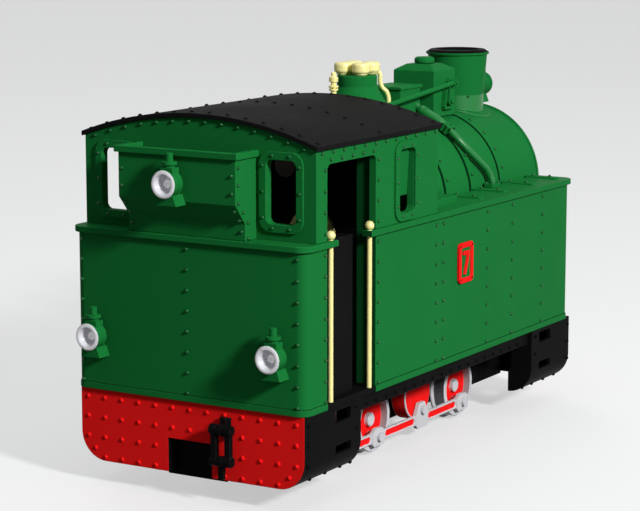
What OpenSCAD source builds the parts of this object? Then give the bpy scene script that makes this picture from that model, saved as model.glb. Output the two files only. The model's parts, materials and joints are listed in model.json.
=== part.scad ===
// Live steam side tank engine for 45 mm gauge track, six wheels coupled and driven by a jackshaft
// +X is the chimney end, +Y is the engine's left, +Z is up, and the wheel flanges stand on z = 0

/* [Body] */
// Length over the rear plate and the front plate
body_len = 235; // [228:1:242]
// Width over the side plates
body_w = 108; // [105:0.5:112]
// Underside of the footplate above the floor
sole_z = 39.2; // [38.5:0.1:42]
// Thickness of the footplate
floor_t = 2.4; // [2:0.1:3]
// Height of the tanks above the footplate
tank_h = 63.4; // [62:0.2:66]
// Thickness of the cab walls
wall_t = 3.2; // [2.4:0.1:4]
// Thickness of the tank skin that hangs below the footplate's top
skin_t = 2; // [1.5:0.1:2.6]
// Height of the beading along the top and bottom edges
lip_h = 2.4; // [1.6:0.1:3]
// How far the beading stands out
lip_out = 1.6; // [1:0.1:2.2]
// How far the lower beading stands out
bead_out = 0.4; // [0.2:0.05:0.8]
// Radius of the upright corners
corner_r = 4.3; // [3:0.1:6]
// Thickness of the straps across the tank tops
strap_t = 0.85; // [0.4:0.05:1]
// Tank edge to the end of a strap
strap_end = 3.8; // [3:0.1:5]
// Length of the ledge beside the cab on a tank top
ledge_len = 33.8; // [28:0.2:36]
// Width of the ledge
ledge_w = 10.4; // [8:0.1:12]
// Height of the ledge
ledge_h = 3.2; // [2:0.1:4]

/* [Cab] */
// Rear plate to the doorway's rear edge
door_set = 16; // [14:0.5:18]
// Width of the doorway
door_w = 37.2; // [32:0.2:40]
// Top of the doorway above the tanks
door_h = 29.5; // [26:0.5:31]
// Corner radius of the doorways and windows
opening_r = 2.6; // [1.5:0.1:4]
// Rear plate to the outside of the cab's rear wall
cab_set = 7.9; // [6.5:0.1:9]
// Length of the cab over its end walls
cab_len = 96.9; // [92:0.1:100]
// Roof edge above the tanks
eave_h = 35.2; // [34.5:0.1:37]
// Rise of the roof's arc
roof_rise = 10; // [8:0.2:12]
// Thickness of the roof sheet
roof_t = 1.8; // [1.2:0.1:2.4]
// Overhang of the roof past the side walls
roof_side = 1.1; // [0.5:0.1:1.5]
// Overhang of the roof past the end walls
roof_end = 1.2; // [0.6:0.1:2]
// Width of a rear window
rear_win_w = 13.5; // [11:0.1:14]
// Height of a rear window
rear_win_h = 24.8; // [20:0.2:25]
// Sill of a rear window above the tanks
rear_win_up = 6.3; // [5.5:0.1:7]
// Width of a side window
side_win_w = 13; // [10:0.1:15]
// Height of a side window
side_win_h = 26; // [20:0.2:26]
// Sill of a side window above the tanks
side_win_up = 3.6; // [3.5:0.1:5]
// Middle of a side window behind the cab's front
side_win_back = 27.2; // [20:0.2:32]
// Width of a front window
front_win_w = 7.5; // [6:0.1:8]
// Width of a window frame's border
frame_w = 3.2; // [2.4:0.1:3.4]
// Thickness of a window frame
frame_t = 0.9; // [0.5:0.1:1.2]
// Diameter of a handrail
rail_d = 2.06; // [1.6:0.02:2.4]
// Diameter of a handrail's ball
ball_d = 3.8; // [3:0.1:4.4]
// Handrail to the doorway's edge
rail_in = 3.7; // [3:0.1:5]

/* [Bunker] */
// Width of the coal bunker
bunker_w = 54.4; // [48:0.2:55]
// How far its upper part stands out behind the rear plate
bunker_out = 6.7; // [4:0.1:9]
// Top of the bunker above the tanks
bunker_h = 34.4; // [30:0.2:35]
// Height of its lower upright face
bunker_foot = 6.6; // [5:0.1:8]
// Height of its sloping face
bunker_slope = 7.8; // [6:0.1:10]
// Thickness of its sheet
bunker_t = 1.6; // [1.2:0.1:2]
// Height of its rim
rim_h = 2.5; // [1.8:0.1:3.2]
// How far the rim stands out
rim_out = 1.3; // [0.8:0.1:1.4]

/* [Boiler] */
// Boiler centre below the tank tops
boiler_drop = 2.8; // [1:0.1:5]
// Outer radius of the boiler cladding and the smokebox
cladding_r = 34; // [32:0.1:35]
// Thickness of the cladding
cladding_t = 1.2; // [0.8:0.1:1.6]
// Width of a boiler band
band_w = 4.2; // [3:0.1:5]
// Width of the band against the cab
cab_band_w = 3; // [2:0.1:3.4]
// Thickness of a boiler band
band_t = 0.6; // [0.4:0.05:0.8]
// How far the backhead stands in the cab
backhead_in = 6; // [4:0.5:10]
// Lagging space between cladding and barrel
lagging = 1.6; // [1.2:0.1:3]
// Radius of the flue
flue_r = 9; // [7:0.1:11]
// Flue below the boiler's centre
flue_drop = 9; // [6:0.5:14]
// Smokebox front ahead of the front plate
smokebox_out = 6.7; // [5:0.1:8]
// Length of the smokebox
smokebox_len = 35.5; // [33:0.1:38]
// Radius of the smokebox door opening
door_hole_r = 24; // [20:0.5:26]

/* [Chimney and dome] */
// Chimney's axis behind the smokebox front
chimney_back = 17.3; // [17:0.1:20]
// Radius of the chimney's base
chimney_base_r = 12.3; // [10:0.1:12.8]
// Height of the chimney's base above the smokebox crown
chimney_base_h = 6.4; // [4:0.1:9]
// Radius of the chimney below its rim
chimney_top_r = 13.8; // [12.9:0.1:14.4]
// Height of the tapered part
chimney_h = 18.4; // [15:0.2:19]
// Radius of the chimney's rim
chimney_rim_r = 14.7; // [14.5:0.1:15.5]
// Radius of the chimney's bore
chimney_bore_r = 9.2; // [8:0.1:10]
// Dome's axis ahead of the cab
dome_ahead = 26.2; // [24:0.2:28]
// Radius of the dome's base
dome_r = 12.5; // [11:0.1:13]
// Radius of the dome's neck
dome_neck_r = 8.7; // [8:0.1:9]
// Height of the dome's base above the boiler crown
dome_base_h = 9.8; // [8:0.1:11]
// Height of the dome's shoulder
dome_shoulder_h = 7.1; // [6:0.1:8]
// Height of the dome's neck
dome_neck_h = 4.9; // [4:0.1:6]
// Radius of a safety valve
valve_r = 3.95; // [3:0.05:4.2]
// Height of a safety valve
valve_h = 5.6; // [5:0.1:6.4]
// Gap between neighbouring safety valves
valve_gap = 0.9; // [0.6:0.05:1.2]
// Whistle ahead of the cab
whistle_ahead = 6.3; // [5:0.1:8]
// Height of the whistle above the boiler crown
whistle_h = 24.5; // [20:0.5:27]

/* [Boiler top] */
// Length of the sandbox
sandbox_len = 20.2; // [18:0.1:22]
// Width of the sandbox
sandbox_w = 21; // [18:0.2:22]
// Height of the sandbox walls above the boiler crown
sandbox_h = 20.1; // [18:0.1:21]
// Middle of the sandbox behind the smokebox front
sandbox_back = 49.7; // [48:0.1:52]
// Length of the regulator box
regulator_len = 18.2; // [16:0.1:20]
// Width of the regulator box
regulator_w = 15; // [12:0.2:17]
// Height of the regulator box above the boiler crown
regulator_h = 13.4; // [11:0.1:15]
// Middle of the regulator box behind the smokebox front
regulator_back = 76.3; // [74:0.1:78]
// Radius of the steam pipe
steam_pipe_r = 1.55; // [1.2:0.05:1.8]
// Radius of the sander rod
sander_rod_r = 1.1; // [0.8:0.05:1.3]
// Pin to pivot of the sander lever
sander_arm = 8.5; // [7:0.1:9.5]

/* [Wheels and rods] */
// Track gauge
gauge = 45; // [44:0.1:46]
// Radius of the wheel tread
wheel_r = 13.8; // [12.5:0.1:14.5]
// Height of the flange
flange_h = 1.2; // [1:0.1:1.6]
// Thickness of the flange
flange_t = 1.6; // [1.2:0.1:1.8]
// Width of the tread
tread_w = 5.6; // [5:0.1:6.5]
// Width of the rim's face
rim_w = 2.5; // [2:0.1:3]
// Depth of the wheel's recessed face
recess = 3.2; // [2:0.1:3.6]
// Radius of the wheel hub
hub_r = 3; // [2.7:0.1:3.4]
// Distance between neighbouring axles
axle_gap = 38.4; // [37:0.1:40]
// Radius of the axles
axle_r = 2.5; // [2:0.1:2.6]
// Crank throw
throw = 7; // [6.5:0.1:7.3]
// Jackshaft above the axles
jack_up = 4; // [3:0.1:5]
// Radius of the jackshaft's crank discs
disc_r = 11.4; // [11:0.1:12]
// Height of a coupling rod
rod_h = 4.4; // [3.6:0.1:5]
// Thickness of a coupling rod
rod_t = 1.5; // [1.2:0.1:1.7]
// Width of a rod boss
boss_w = 11; // [7:0.1:12]
// Height of a rod boss
boss_h = 7.8; // [7:0.1:8]
// Thickness of a rod boss
boss_t = 1.9; // [1.8:0.1:2.2]
// Radius of a crank pin
pin_r = 1.3; // [1:0.05:1.6]
// Radius of a crank pin's head
pin_head_r = 1.9; // [1.8:0.05:2.4]

/* [Frame] */
// Distance between the frame plates
frame_gap = 33; // [32:0.2:34]
// Thickness of a frame plate
plate_t = 2.5; // [2:0.1:2.8]
// Lower edge of the frame plates above the floor
frame_low = 8.5; // [7.5:0.1:10]
// Radius of the axle bushes
bush_r = 4; // [3.4:0.1:4.6]
// Thickness of the buffer beams
beam_t = 3; // [2.4:0.1:3.6]
// Half width of the buffer beams
beam_y = 52.9; // [51:0.1:53.5]
// Lower edge of the beams and skirts above the floor
beam_low = 9.5; // [8:0.1:11]
// Radius of the lower corners of beams and skirts
skirt_r = 11.9; // [9:0.1:13]
// Thickness of the skirts
skirt_t = 2; // [1.5:0.1:2.5]
// Length of a skirt
skirt_len = 40; // [36:0.5:42]
// Half width of the notch in the beams
notch_y = 10.3; // [8:0.1:11]
// Height of the notch
notch_h = 13.7; // [11:0.1:15]
// Front beam's face ahead of the front plate
front_beam_out = 3.9; // [3:0.1:4.5]

/* [Couplings] */
// Coupling to the right of the beam's middle
coupling_y = 17.4; // [16:0.1:22]
// Coupling's pin above the floor
coupling_z = 30.7; // [29:0.1:32]
// Upper pin to lower pin
link_len = 12.5; // [11:0.1:14]
// Width over the coupling straps
link_w = 9.8; // [9:0.1:13]
// Radius of the coupling knuckles
knuckle_r = 2.1; // [1.8:0.1:2.4]
// Length of the hanging tail below the lower pin
tail_len = 7.2; // [5:0.1:8]

/* [Lamps] */
// Radius of a lamp's ring
lamp_ring_r = 5.5; // [5:0.1:6]
// Radius of a lamp's body
lamp_r = 4.9; // [4:0.1:4.9]
// Length of a lamp from its mount to its ring
lamp_len = 9.1; // [7:0.1:10]
// Lamp's centre above its foot
lamp_foot = 8.5; // [7.5:0.1:9.5]
// Lower lamps to either side of the middle
lamp_y = 42.2; // [41.5:0.1:43]
// Lower lamps below the tank tops
lamp_drop = 42.9; // [38:0.1:46]

/* [Number plates] */
// Width of a number plate
number_w = 13; // [11:0.1:15]
// Height of a number plate
number_h = 17.3; // [14:0.1:20]
// Thickness of a number plate
number_t = 1.2; // [0.8:0.1:1.5]
// Number plate's middle ahead of the cab
number_ahead = 24.2; // [20:0.2:40]
// Number plate's middle below the tank tops
number_drop = 24.2; // [20:0.2:35]

/* [Gears] */
// Tooth module of the drive gears
gear_m = 0.7; // [0.6:0.01:0.72]
// Teeth of the gear on the jackshaft
jack_teeth = 34; // [32:1:36]
// Teeth of the motor's pinion
pinion_teeth = 18; // [16:1:20]
// Width of the gears
gear_w = 5; // [3:0.5:6]

/* [Fits] */
// Gap between fixed pieces that seat on each other
seat = 0.04; // [0.02:0.01:0.08]
// Radial clearance of the running fits
run = 0.05; // [0.03:0.01:0.08]

/* [Hidden] */
$fn = 48;

// Body planes
rear_x = -body_len / 2;
front_x = body_len / 2;
side_y = body_w / 2;
floor_z = sole_z + floor_t;
tank_z = floor_z + tank_h;
door_rear_x = rear_x + door_set;
door_front_x = door_rear_x + door_w;
cab_rear_x = rear_x + cab_set;
cab_front_x = cab_rear_x + cab_len;
eave_z = tank_z + eave_h;
roof_y = side_y + roof_side;
roof_r = (roof_y * roof_y + roof_rise * roof_rise) / (2 * roof_rise);
roof_axis_z = eave_z + roof_rise - roof_r;

// Boiler planes
boiler_z = tank_z - boiler_drop;
crown_z = boiler_z + cladding_r;
band_r = cladding_r + band_t;
tank_in_y = band_r + 0.5;
smokebox_x = front_x + smokebox_out;
joint_x = smokebox_x - smokebox_len;
backhead_x = cab_front_x - wall_t - backhead_in;
chimney_x = smokebox_x - chimney_back;

// The pieces between cab and chimney share out a change of the boiler's length
spacing_len = 119.6;
stretch = (chimney_x - cab_front_x) / spacing_len;
dome_x = cab_front_x + dome_ahead * stretch;
whistle_x = cab_front_x + whistle_ahead * stretch;
sandbox_x = chimney_x - (sandbox_back - chimney_back) * stretch;
regulator_x = chimney_x - (regulator_back - chimney_back) * stretch;
band_ws = [cab_band_w, band_w, band_w, band_w];
band_xs = [
    cab_front_x + cab_band_w / 2 + 0.3, joint_x - 56.2 * stretch + band_w / 2,
    joint_x - 32.7 * stretch + band_w / 2, joint_x - band_w / 2 - seat
];
flue_z = boiler_z - flue_drop;
dome_top_z = crown_z + dome_base_h + dome_shoulder_h + dome_neck_h;

// Wheels, axles and rods
flange_r = wheel_r + flange_h;
axle_z = flange_r;
flange_y = gauge / 2 - 0.2;
wheel_face_y = flange_y + tread_w;
wheel_back_y = flange_y - flange_t;
axle_xs = [-1.5 * axle_gap, -0.5 * axle_gap, 1.5 * axle_gap];
jack_x = 0.5 * axle_gap;
jack_z = axle_z + jack_up;
rod_y = wheel_face_y + 0.45;
pin_head_h = 1.4;
pin_end_y = rod_y + boss_t + run + pin_head_h;

// Frame
frame_in_y = frame_gap / 2;
frame_out_y = frame_in_y + plate_t;
rear_beam_x = rear_x + 0.9;
front_beam_x = front_x + front_beam_out;

// Gear pair
jack_gear_r = gear_m * jack_teeth / 2;
pinion_r = gear_m * pinion_teeth / 2;
gear_centres = jack_gear_r + pinion_r + 0.06;
gear_lean = 33.4;
motor_x = jack_x - gear_centres * cos(gear_lean);
motor_z = jack_z + gear_centres * sin(gear_lean);
motor_shaft_r = 1.6;

// Sander gear
sander_y = -(dome_r + sander_rod_r + 0.4);
sander_pin_x = sandbox_x + 2.7;
sander_pin_z = crown_z + 14.2;
sander_slope = 4.9;

// Paints and metals
green = [0.07, 0.42, 0.16];
black = [0.11, 0.11, 0.12];
red = [0.8, 0.08, 0.08];
pale = [0.85, 0.85, 0.86];
steel = [0.62, 0.63, 0.66];
brass = [0.9, 0.72, 0.36];
copper = [0.72, 0.42, 0.28];

// Box between two corners
module block(low, high) {
    translate(low) cube(high - low);
}

// Rod of radius r along X, Y or Z
module along_x(r, x0, x1, y, z) {
    translate([x0, y, z]) rotate([0, 90, 0]) cylinder(r = r, h = x1 - x0);
}
module along_y(r, x, y0, y1, z) {
    translate([x, y0, z]) rotate([-90, 0, 0]) cylinder(r = r, h = y1 - y0);
}
module along_z(r, x, y, z0, z1) {
    translate([x, y, z0]) cylinder(r = r, h = z1 - z0);
}

// Both sides of the engine
module both_sides() {
    children();
    mirror([0, 1, 0]) children();
}

// Flat outline drawn in Y and Z, extruded along X
module slab_x(x0, x1) {
    translate([x0, 0, 0]) rotate([90, 0, 90]) linear_extrude(x1 - x0) children();
}

// Flat outline drawn in X and Z, extruded along Y
module slab_y(y0, y1) {
    translate([0, y1, 0]) rotate([90, 0, 0]) linear_extrude(y1 - y0) children();
}

// Outline revolved about an axis along Y, drawn as radius and Y
module turned_y(x, z) {
    translate([x, 0, z]) rotate([-90, 0, 0]) rotate_extrude() children();
}

// Outline revolved about an axis along X, drawn as radius and X
module turned_x(x, y, z, dir) {
    translate([x, y, z]) rotate([0, dir * 90, 0]) rotate_extrude() children();
}

// Rectangle with four round corners
module round_rect(w, h, r) {
    square([w - 2 * r, h], center = true);
    square([w, h - 2 * r], center = true);
    for (sx = [-1, 1], sy = [-1, 1])
        translate([sx * (w / 2 - r), sy * (h / 2 - r)]) circle(r);
}

// Plan of a body section from x0 to x1, with round corners at the end that end names
module plan(x0, x1, y0, y1, r, end) {
    corner_x = end > 0 ? x1 - r : x0 + r;
    tip_x = end > 0 ? x1 : x0;
    difference() {
        translate([x0, y0]) square([x1 - x0, y1 - y0]);
        difference() {
            translate([min(corner_x, tip_x) - (end > 0 ? 0 : 1), y1 - r]) square([r + 1, r + 1]);
            translate([corner_x, y1 - r]) circle(r);
        }
    }
}

// One side of a tank: skin, body, and the beading at top and bottom
module tank_half(x0, x1, y0, end, lip_in) {
    tip = lip_out * end;
    bead = bead_out * end;
    lx0 = end > 0 ? x0 : x0 + tip;
    lx1 = end > 0 ? x1 + tip : x1;
    translate([0, 0, floor_z + seat]) linear_extrude(tank_z - floor_z - seat)
        plan(x0, x1, y0, side_y, corner_r, end);
    translate([0, 0, tank_z - lip_h]) linear_extrude(lip_h)
        plan(lx0, lx1, y0, side_y + lip_out, corner_r + lip_out, end);
    translate([0, 0, sole_z]) linear_extrude(lip_h + 0.2) difference() {
        plan(end > 0 ? x0 : x0 + bead, end > 0 ? x1 + bead : x1, y0, side_y + bead_out, corner_r + bead_out, end);
        plan(x0 + (end < 0 ? skin_t : -1), x1 - (end > 0 ? skin_t : -1), y0 - 1, side_y - skin_t,
             corner_r - skin_t, end);
    }
    block([lip_in > x1 ? x1 - 1 : lip_in, side_y - 3, tank_z - lip_h],
          [lip_in > x1 ? lip_in : x0 + 1, side_y + lip_out, tank_z]);
}

// Hole for a handrail through the beading
module rail_hole(x) {
    along_z(rail_d / 2 + run, x, rail_y, tank_z - lip_h - 1, tank_z + 1);
}

rail_y = side_y - 0.8;
rail_xs = [door_rear_x + rail_in, door_front_x - rail_in];
lip_reach = rail_in + 2.3;

module main_frame() {
    color(black) {
        both_sides() difference() {
            block([rear_beam_x + beam_t, frame_in_y, frame_low],
                  [front_beam_x - beam_t, frame_out_y, sole_z]);
            for (x = axle_xs) along_y(bush_r + seat, x, 0, side_y, axle_z);
            along_y(bush_r + seat, jack_x, 0, side_y, jack_z);
            for (x = [-38, 38]) along_y(5, x, 0, side_y, axle_z + 9);
        }
        for (x = [rear_x + 20, -2 * plate_t - axle_gap, axle_gap, front_x - 28])
            block([x - plate_t / 2, -frame_in_y, axle_z - 2], [x + plate_t / 2, frame_in_y, axle_z + 14]);
    }
}

module footplate() {
    inner_y = side_y - skin_t - seat;
    inner_r = corner_r - skin_t - seat;
    color(black) difference() {
        union() {
            both_sides() translate([0, 0, sole_z]) linear_extrude(floor_t) {
                plan(rear_x + skin_t + seat, 0, 0, inner_y, inner_r, -1);
                plan(0, front_x - skin_t - seat, 0, inner_y, inner_r, 1);
            }
            block([front_x - corner_r, -tank_in_y + seat, sole_z], [front_beam_x, tank_in_y - seat, floor_z]);
            block([door_rear_x + seat, -side_y, sole_z], [door_front_x - seat, side_y, floor_z]);
            for (y = [-1, 1])
                block([lever_x - 4, lever_y - 1 + 3 * y, floor_z - 1],
                      [lever_x + 4, lever_y + 1 + 3 * y, lever_z + 2.6]);
            along_y(lever_pin_r, lever_x, lever_y - 3, lever_y + 3, lever_z);
        }
        along_z(exhaust_r + run, chimney_x, 0, sole_z - 1, floor_z + 1);
    }
}

// Buffer beam outline with round lower corners and the coupler notch, drawn in by inset at its ends
module beam_outline(inset) {
    half = beam_y - inset;
    low = beam_low + inset;
    r = skirt_r - inset;
    flat = beam_y - skirt_r - seat;
    difference() {
        union() {
            difference() {
                translate([-half, low]) square([2 * half, sole_z - low]);
                for (s = [-1, 1]) difference() {
                    translate([s * (half - r / 2 + 0.5), low + r / 2 - 0.5]) square(r + 1, center = true);
                    translate([s * (half - r), low + r]) circle(r);
                }
            }
            translate([-flat, beam_low]) square([2 * flat, inset + 1]);
        }
        translate([-notch_y, beam_low - 1]) square([2 * notch_y, notch_h + 1]);
    }
}

module rear_buffer_beam() {
    color(red) slab_x(rear_beam_x, rear_beam_x + beam_t) beam_outline(0);
}

module front_buffer_beam() {
    color(red) slab_x(front_beam_x - beam_t, front_beam_x) beam_outline(skirt_t + seat);
}

// Skirt section: upright sheet whose lower edge rolls inwards
module skirt_outline(depth) {
    intersection() {
        difference() {
            translate([0, beam_low]) square([beam_y, sole_z - beam_low]);
            difference() {
                translate([beam_y - skirt_r, beam_low - 1]) square([skirt_r + 1, skirt_r + 1]);
                translate([beam_y - skirt_r, beam_low + skirt_r]) circle(skirt_r);
            }
            translate([0, beam_low + skirt_r]) square([beam_y - depth, sole_z]);
            translate([beam_y - skirt_r, beam_low + skirt_r]) circle(skirt_r - depth);
        }
        translate([beam_y - skirt_r, 0]) square([skirt_r + 1, sole_z]);
    }
}

toe_upper = [sole_z - 7.1, 4.8];
toe_lower = [sole_z - 19.7, 3.5];
toe_w = 11.6;

module skirt(x0, x1, toe_x, wall_x) {
    difference() {
        slab_x(x0, x1) skirt_outline(skirt_t);
        for (t = [toe_upper, toe_lower])
            block([toe_x, beam_y - skirt_r / 2, t[0]], [toe_x + toe_w, beam_y + 1, t[0] + t[1]]);
    }
    slab_x(wall_x, wall_x + skirt_t) skirt_outline(skirt_r - 1.5);
}

module skirts() {
    rear0 = rear_beam_x + beam_t + seat;
    front1 = front_beam_x - beam_t - seat;
    color(black) both_sides() {
        skirt(rear0, rear0 + skirt_len, rear0 + 20.4, rear0 + skirt_len - skirt_t);
        skirt(front1 - skirt_len + 3, front_beam_x, front1 - 29, front1 - skirt_len + 3);
        block([rear0 + skirt_len + seat, beam_y - skirt_t - 1.6, sole_z - 6.8],
              [front1 - skirt_len + 3 - seat, beam_y - skirt_t, sole_z]);
    }
}

module axle_bushes() {
    spots = concat([for (x = axle_xs) [x, axle_z]], [[jack_x, jack_z]]);
    color(brass) both_sides() for (s = spots) difference() {
        along_y(bush_r, s[0], frame_in_y - 0.8, wheel_back_y - 0.3, s[1]);
        along_y(axle_r + run, s[0], 0, side_y, s[1]);
    }
}

barrel_y = 10.4;
cylinder_r = 5;
exhaust_r = 2.2;
exhaust_z = sole_z - 3.8;
motor_in_y = gear_w / 2 + 2;

module steam_motor() {
    block_x0 = motor_x - 10;
    block_x1 = motor_x + 8.6;
    color(steel) difference() {
        union() {
            block([block_x0, -frame_in_y + 0.2, sole_z - 2.6], [block_x1, frame_in_y - 0.2, sole_z - seat]);
            both_sides() {
                block([block_x0, motor_in_y, motor_z - 8], [block_x1, frame_in_y - 0.2, sole_z - 1]);
                along_x(cylinder_r, block_x0 - 24, block_x0 + 1, barrel_y, motor_z);
                along_x(cylinder_r + 0.9, block_x0 - 26, block_x0 - 23, barrel_y, motor_z);
            }
            block([block_x1 - 1, -6, exhaust_z - exhaust_r - 0.5], [block_x1 + 4, 6, sole_z - seat]);
        }
        along_y(motor_shaft_r + run, motor_x, -side_y, side_y, motor_z);
        along_y(axle_r + 1, jack_x, -side_y, side_y, jack_z);
        along_y(jack_gear_r + 2 * gear_m, jack_x, -motor_in_y, motor_in_y, jack_z);
    }
}

module exhaust_pipe() {
    x0 = motor_x + 12.6 + seat;
    color(copper) {
        along_x(exhaust_r, x0, chimney_x, 0, exhaust_z);
        translate([chimney_x, 0, exhaust_z]) sphere(exhaust_r);
        along_z(exhaust_r, chimney_x, 0, exhaust_z, boiler_z + 14);
    }
}

module smokebox_saddle() {
    color(green) difference() {
        block([joint_x + 4, -tank_in_y + seat, floor_z + seat], [front_x, tank_in_y - seat, boiler_z - 16]);
        along_x(cladding_r + seat, joint_x, smokebox_x + 1, 0, boiler_z);
        along_z(exhaust_r + run, chimney_x, 0, floor_z - 1, boiler_z);
    }
}

// Side tank inside the cab: its width from the side, and how far it stands back from the doorway
post_w = 9.6;
post_set = 1.2;

// Side tank with its beading, the straps across its top and the ledge beside the cab
strap_xs = [band_xs[1], band_xs[2], band_xs[3], front_x - corner_r - band_w / 2];
nut_r = 1.7;
nut_h = 1.8;

module side_tank() {
    ledge_x = cab_front_x + ledge_len;
    ledge_z = tank_z + min(ledge_h, rear_win_up - frame_w - 0.3);
    difference() {
        union() {
            tank_half(door_front_x, front_x, tank_in_y, 1, door_front_x - lip_reach);
            for (x = strap_xs)
                block([x - band_w / 2, tank_in_y, tank_z - lip_h],
                      [x + band_w / 2, side_y - strap_end, tank_z + strap_t]);
            block([cab_front_x + seat, tank_in_y, tank_z - lip_h], [ledge_x, tank_in_y + ledge_w, ledge_z]);
            translate([ledge_x - 2 * nut_r, tank_in_y + 2 * nut_r, ledge_z - 1])
                cylinder(r = nut_r, h = nut_h + 1, $fn = 6);
        }
        rail_hole(rail_xs[1]);
        block([door_front_x - 1, tank_in_y - 1, floor_z],
              [door_front_x + post_set, side_y - wall_t, tank_z + 1]);
        block([door_front_x - 1, tank_in_y - 1, floor_z],
              [cab_front_x - wall_t - seat, side_y - post_w, tank_z + 1]);
    }
}

module left_tank() {
    color(green) side_tank();
}

module right_tank() {
    color(green) mirror([0, 1, 0]) side_tank();
}

module rear_tank() {
    color(green) both_sides() difference() {
        tank_half(rear_x, door_rear_x, 0, -1, door_rear_x + lip_reach);
        rail_hole(rail_xs[0]);
    }
}

// Space under the roof's arc
module under_roof(x0, x1) {
    along_x(roof_r - seat, x0, x1, 0, roof_axis_z);
}

module window_hole_y(x, z, w, h) {
    slab_y(side_y - wall_t - 1, side_y + 1) translate([x, z]) round_rect(w, h, opening_r);
}

module window_hole_x(x, y, z, w, h) {
    slab_x(x - 1, x + wall_t + 1) translate([y, z]) round_rect(w, h, opening_r);
}

side_win_x = cab_front_x - side_win_back;
side_win_z = tank_z + side_win_up + side_win_h / 2;
rear_win_y = bunker_w / 2 + rim_out + frame_w + rear_win_w / 2 + 0.2;
rear_win_z = tank_z + rear_win_up + rear_win_h / 2;
front_win_y = side_y - wall_t - frame_w - front_win_w / 2 - 0.3;
front_win_z = rear_win_z;

module cab_sides() {
    door_z = tank_z + door_h;
    color(green) both_sides() intersection() {
        difference() {
            block([cab_rear_x, side_y - wall_t, tank_z + seat], [cab_front_x, side_y, eave_z + roof_rise]);
            block([door_rear_x, 0, tank_z - 1], [door_front_x, side_y + 1, door_z - opening_r]);
            slab_y(0, side_y + 1) translate([(door_rear_x + door_front_x) / 2, door_z - 5])
                round_rect(door_w, 10, opening_r);
            window_hole_y(side_win_x, side_win_z, side_win_w, side_win_h);
        }
        under_roof(cab_rear_x - 1, cab_front_x + 1);
    }
}

module cab_ends() {
    inner_y = side_y - wall_t - seat;
    rod_z = sander_pin_z - (sander_pin_x - cab_front_x) * tan(sander_slope);
    color(green) intersection() {
        difference() {
            union() {
                block([cab_rear_x, -inner_y, tank_z + seat],
                      [cab_rear_x + wall_t, inner_y, eave_z + roof_rise]);
                block([cab_front_x - wall_t, -inner_y, tank_z + seat],
                      [cab_front_x, inner_y, eave_z + roof_rise]);
                block([cab_front_x - wall_t, -tank_in_y + seat, floor_z + seat],
                      [cab_front_x, tank_in_y - seat, tank_z + 1]);
            }
            along_x(cladding_r + seat, cab_front_x - wall_t - 1, cab_front_x + 1, 0, boiler_z);
            for (s = [-1, 1]) {
                window_hole_x(cab_rear_x, s * rear_win_y, rear_win_z, rear_win_w, rear_win_h);
                window_hole_x(cab_front_x - wall_t, s * front_win_y, front_win_z, front_win_w, rear_win_h);
            }
            along_x(sander_rod_r + 1, cab_front_x - wall_t - 1, cab_front_x + 1, sander_y, rod_z);
        }
        under_roof(cab_rear_x - 1, cab_front_x + 1);
    }
}

module cab_roof() {
    x0 = cab_rear_x - roof_end;
    x1 = cab_front_x + roof_end;
    color(black) intersection() {
        difference() {
            along_x(roof_r + roof_t, x0, x1, 0, roof_axis_z);
            along_x(roof_r, x0 - 1, x1 + 1, 0, roof_axis_z);
        }
        block([x0, -roof_y, eave_z - roof_t], [x1, roof_y, eave_z + roof_rise + roof_t + 1]);
    }
}

// Frame round a window, drawn about its middle
module window_frame(w, h) {
    difference() {
        round_rect(w + 2 * frame_w, h + 2 * frame_w, opening_r + frame_w * 0.8);
        round_rect(w, h, opening_r);
    }
}

module window_frames() {
    color(green) both_sides() {
        slab_x(cab_rear_x - frame_t - seat, cab_rear_x - seat)
            translate([rear_win_y, rear_win_z]) window_frame(rear_win_w, rear_win_h);
        slab_y(side_y + seat, side_y + seat + frame_t)
            translate([side_win_x, side_win_z]) window_frame(side_win_w, side_win_h);
        slab_x(cab_front_x + seat, cab_front_x + seat + frame_t)
            translate([front_win_y, front_win_z]) window_frame(front_win_w, rear_win_h);
    }
}

// Bunker outline in X and Z: upright foot, slope and upright upper face, drawn in by t
module bunker_outline(t, top) {
    x1 = cab_rear_x;
    foot_z = tank_z + bunker_foot;
    slope_z = foot_z + bunker_slope;
    polygon([
        [x1, tank_z + seat + t], [rear_x + t, tank_z + seat + t], [rear_x + t, foot_z],
        [rear_x - bunker_out + t, slope_z], [rear_x - bunker_out + t, top], [x1, top]
    ]);
}

module coal_bunker() {
    half = bunker_w / 2;
    top = tank_z + bunker_h;
    wall_x = cab_rear_x - seat;
    color(green) difference() {
        intersection() {
            union() {
                slab_y(-half, half) bunker_outline(0, top);
                block([rear_x - bunker_out - rim_out, -half - rim_out, top - rim_h],
                      [wall_x, half + rim_out, top]);
            }
            block([rear_x - 50, -side_y, tank_z], [wall_x, side_y, top]);
        }
        slab_y(-half + bunker_t, half - bunker_t) bunker_outline(bunker_t, top + 1);
    }
}

locker_x0 = door_rear_x + seat;
locker_x1 = door_rear_x + door_w - 12.5;
locker_y = side_y - 3.2;
locker_h = tank_h - 0.6;

module cab_locker() {
    top = floor_z + locker_h;
    color(black) difference() {
        block([locker_x0, -locker_y, floor_z + seat], [locker_x1, locker_y, top]);
        block([locker_x0 + 1.2, -locker_y + 1.2, floor_z - 1], [locker_x1 - 1.2, locker_y - 1.2, top - 1.2]);
    }
}

gas_r = 8;

module gas_tank() {
    x = (locker_x0 + locker_x1) / 2;
    z = floor_z + seat + gas_r;
    color(brass) {
        along_y(gas_r, x, -33, 33, z);
        along_z(2.5, x, 0, z, z + gas_r + 6);
        along_z(3.6, x, 0, z + gas_r + 4, z + gas_r + 8);
    }
}

module ring_x(r_out, r_in, x0, x1) {
    difference() {
        along_x(r_out, x0, x1, 0, boiler_z);
        along_x(r_in, x0 - 1, x1 + 1, 0, boiler_z);
    }
}

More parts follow.
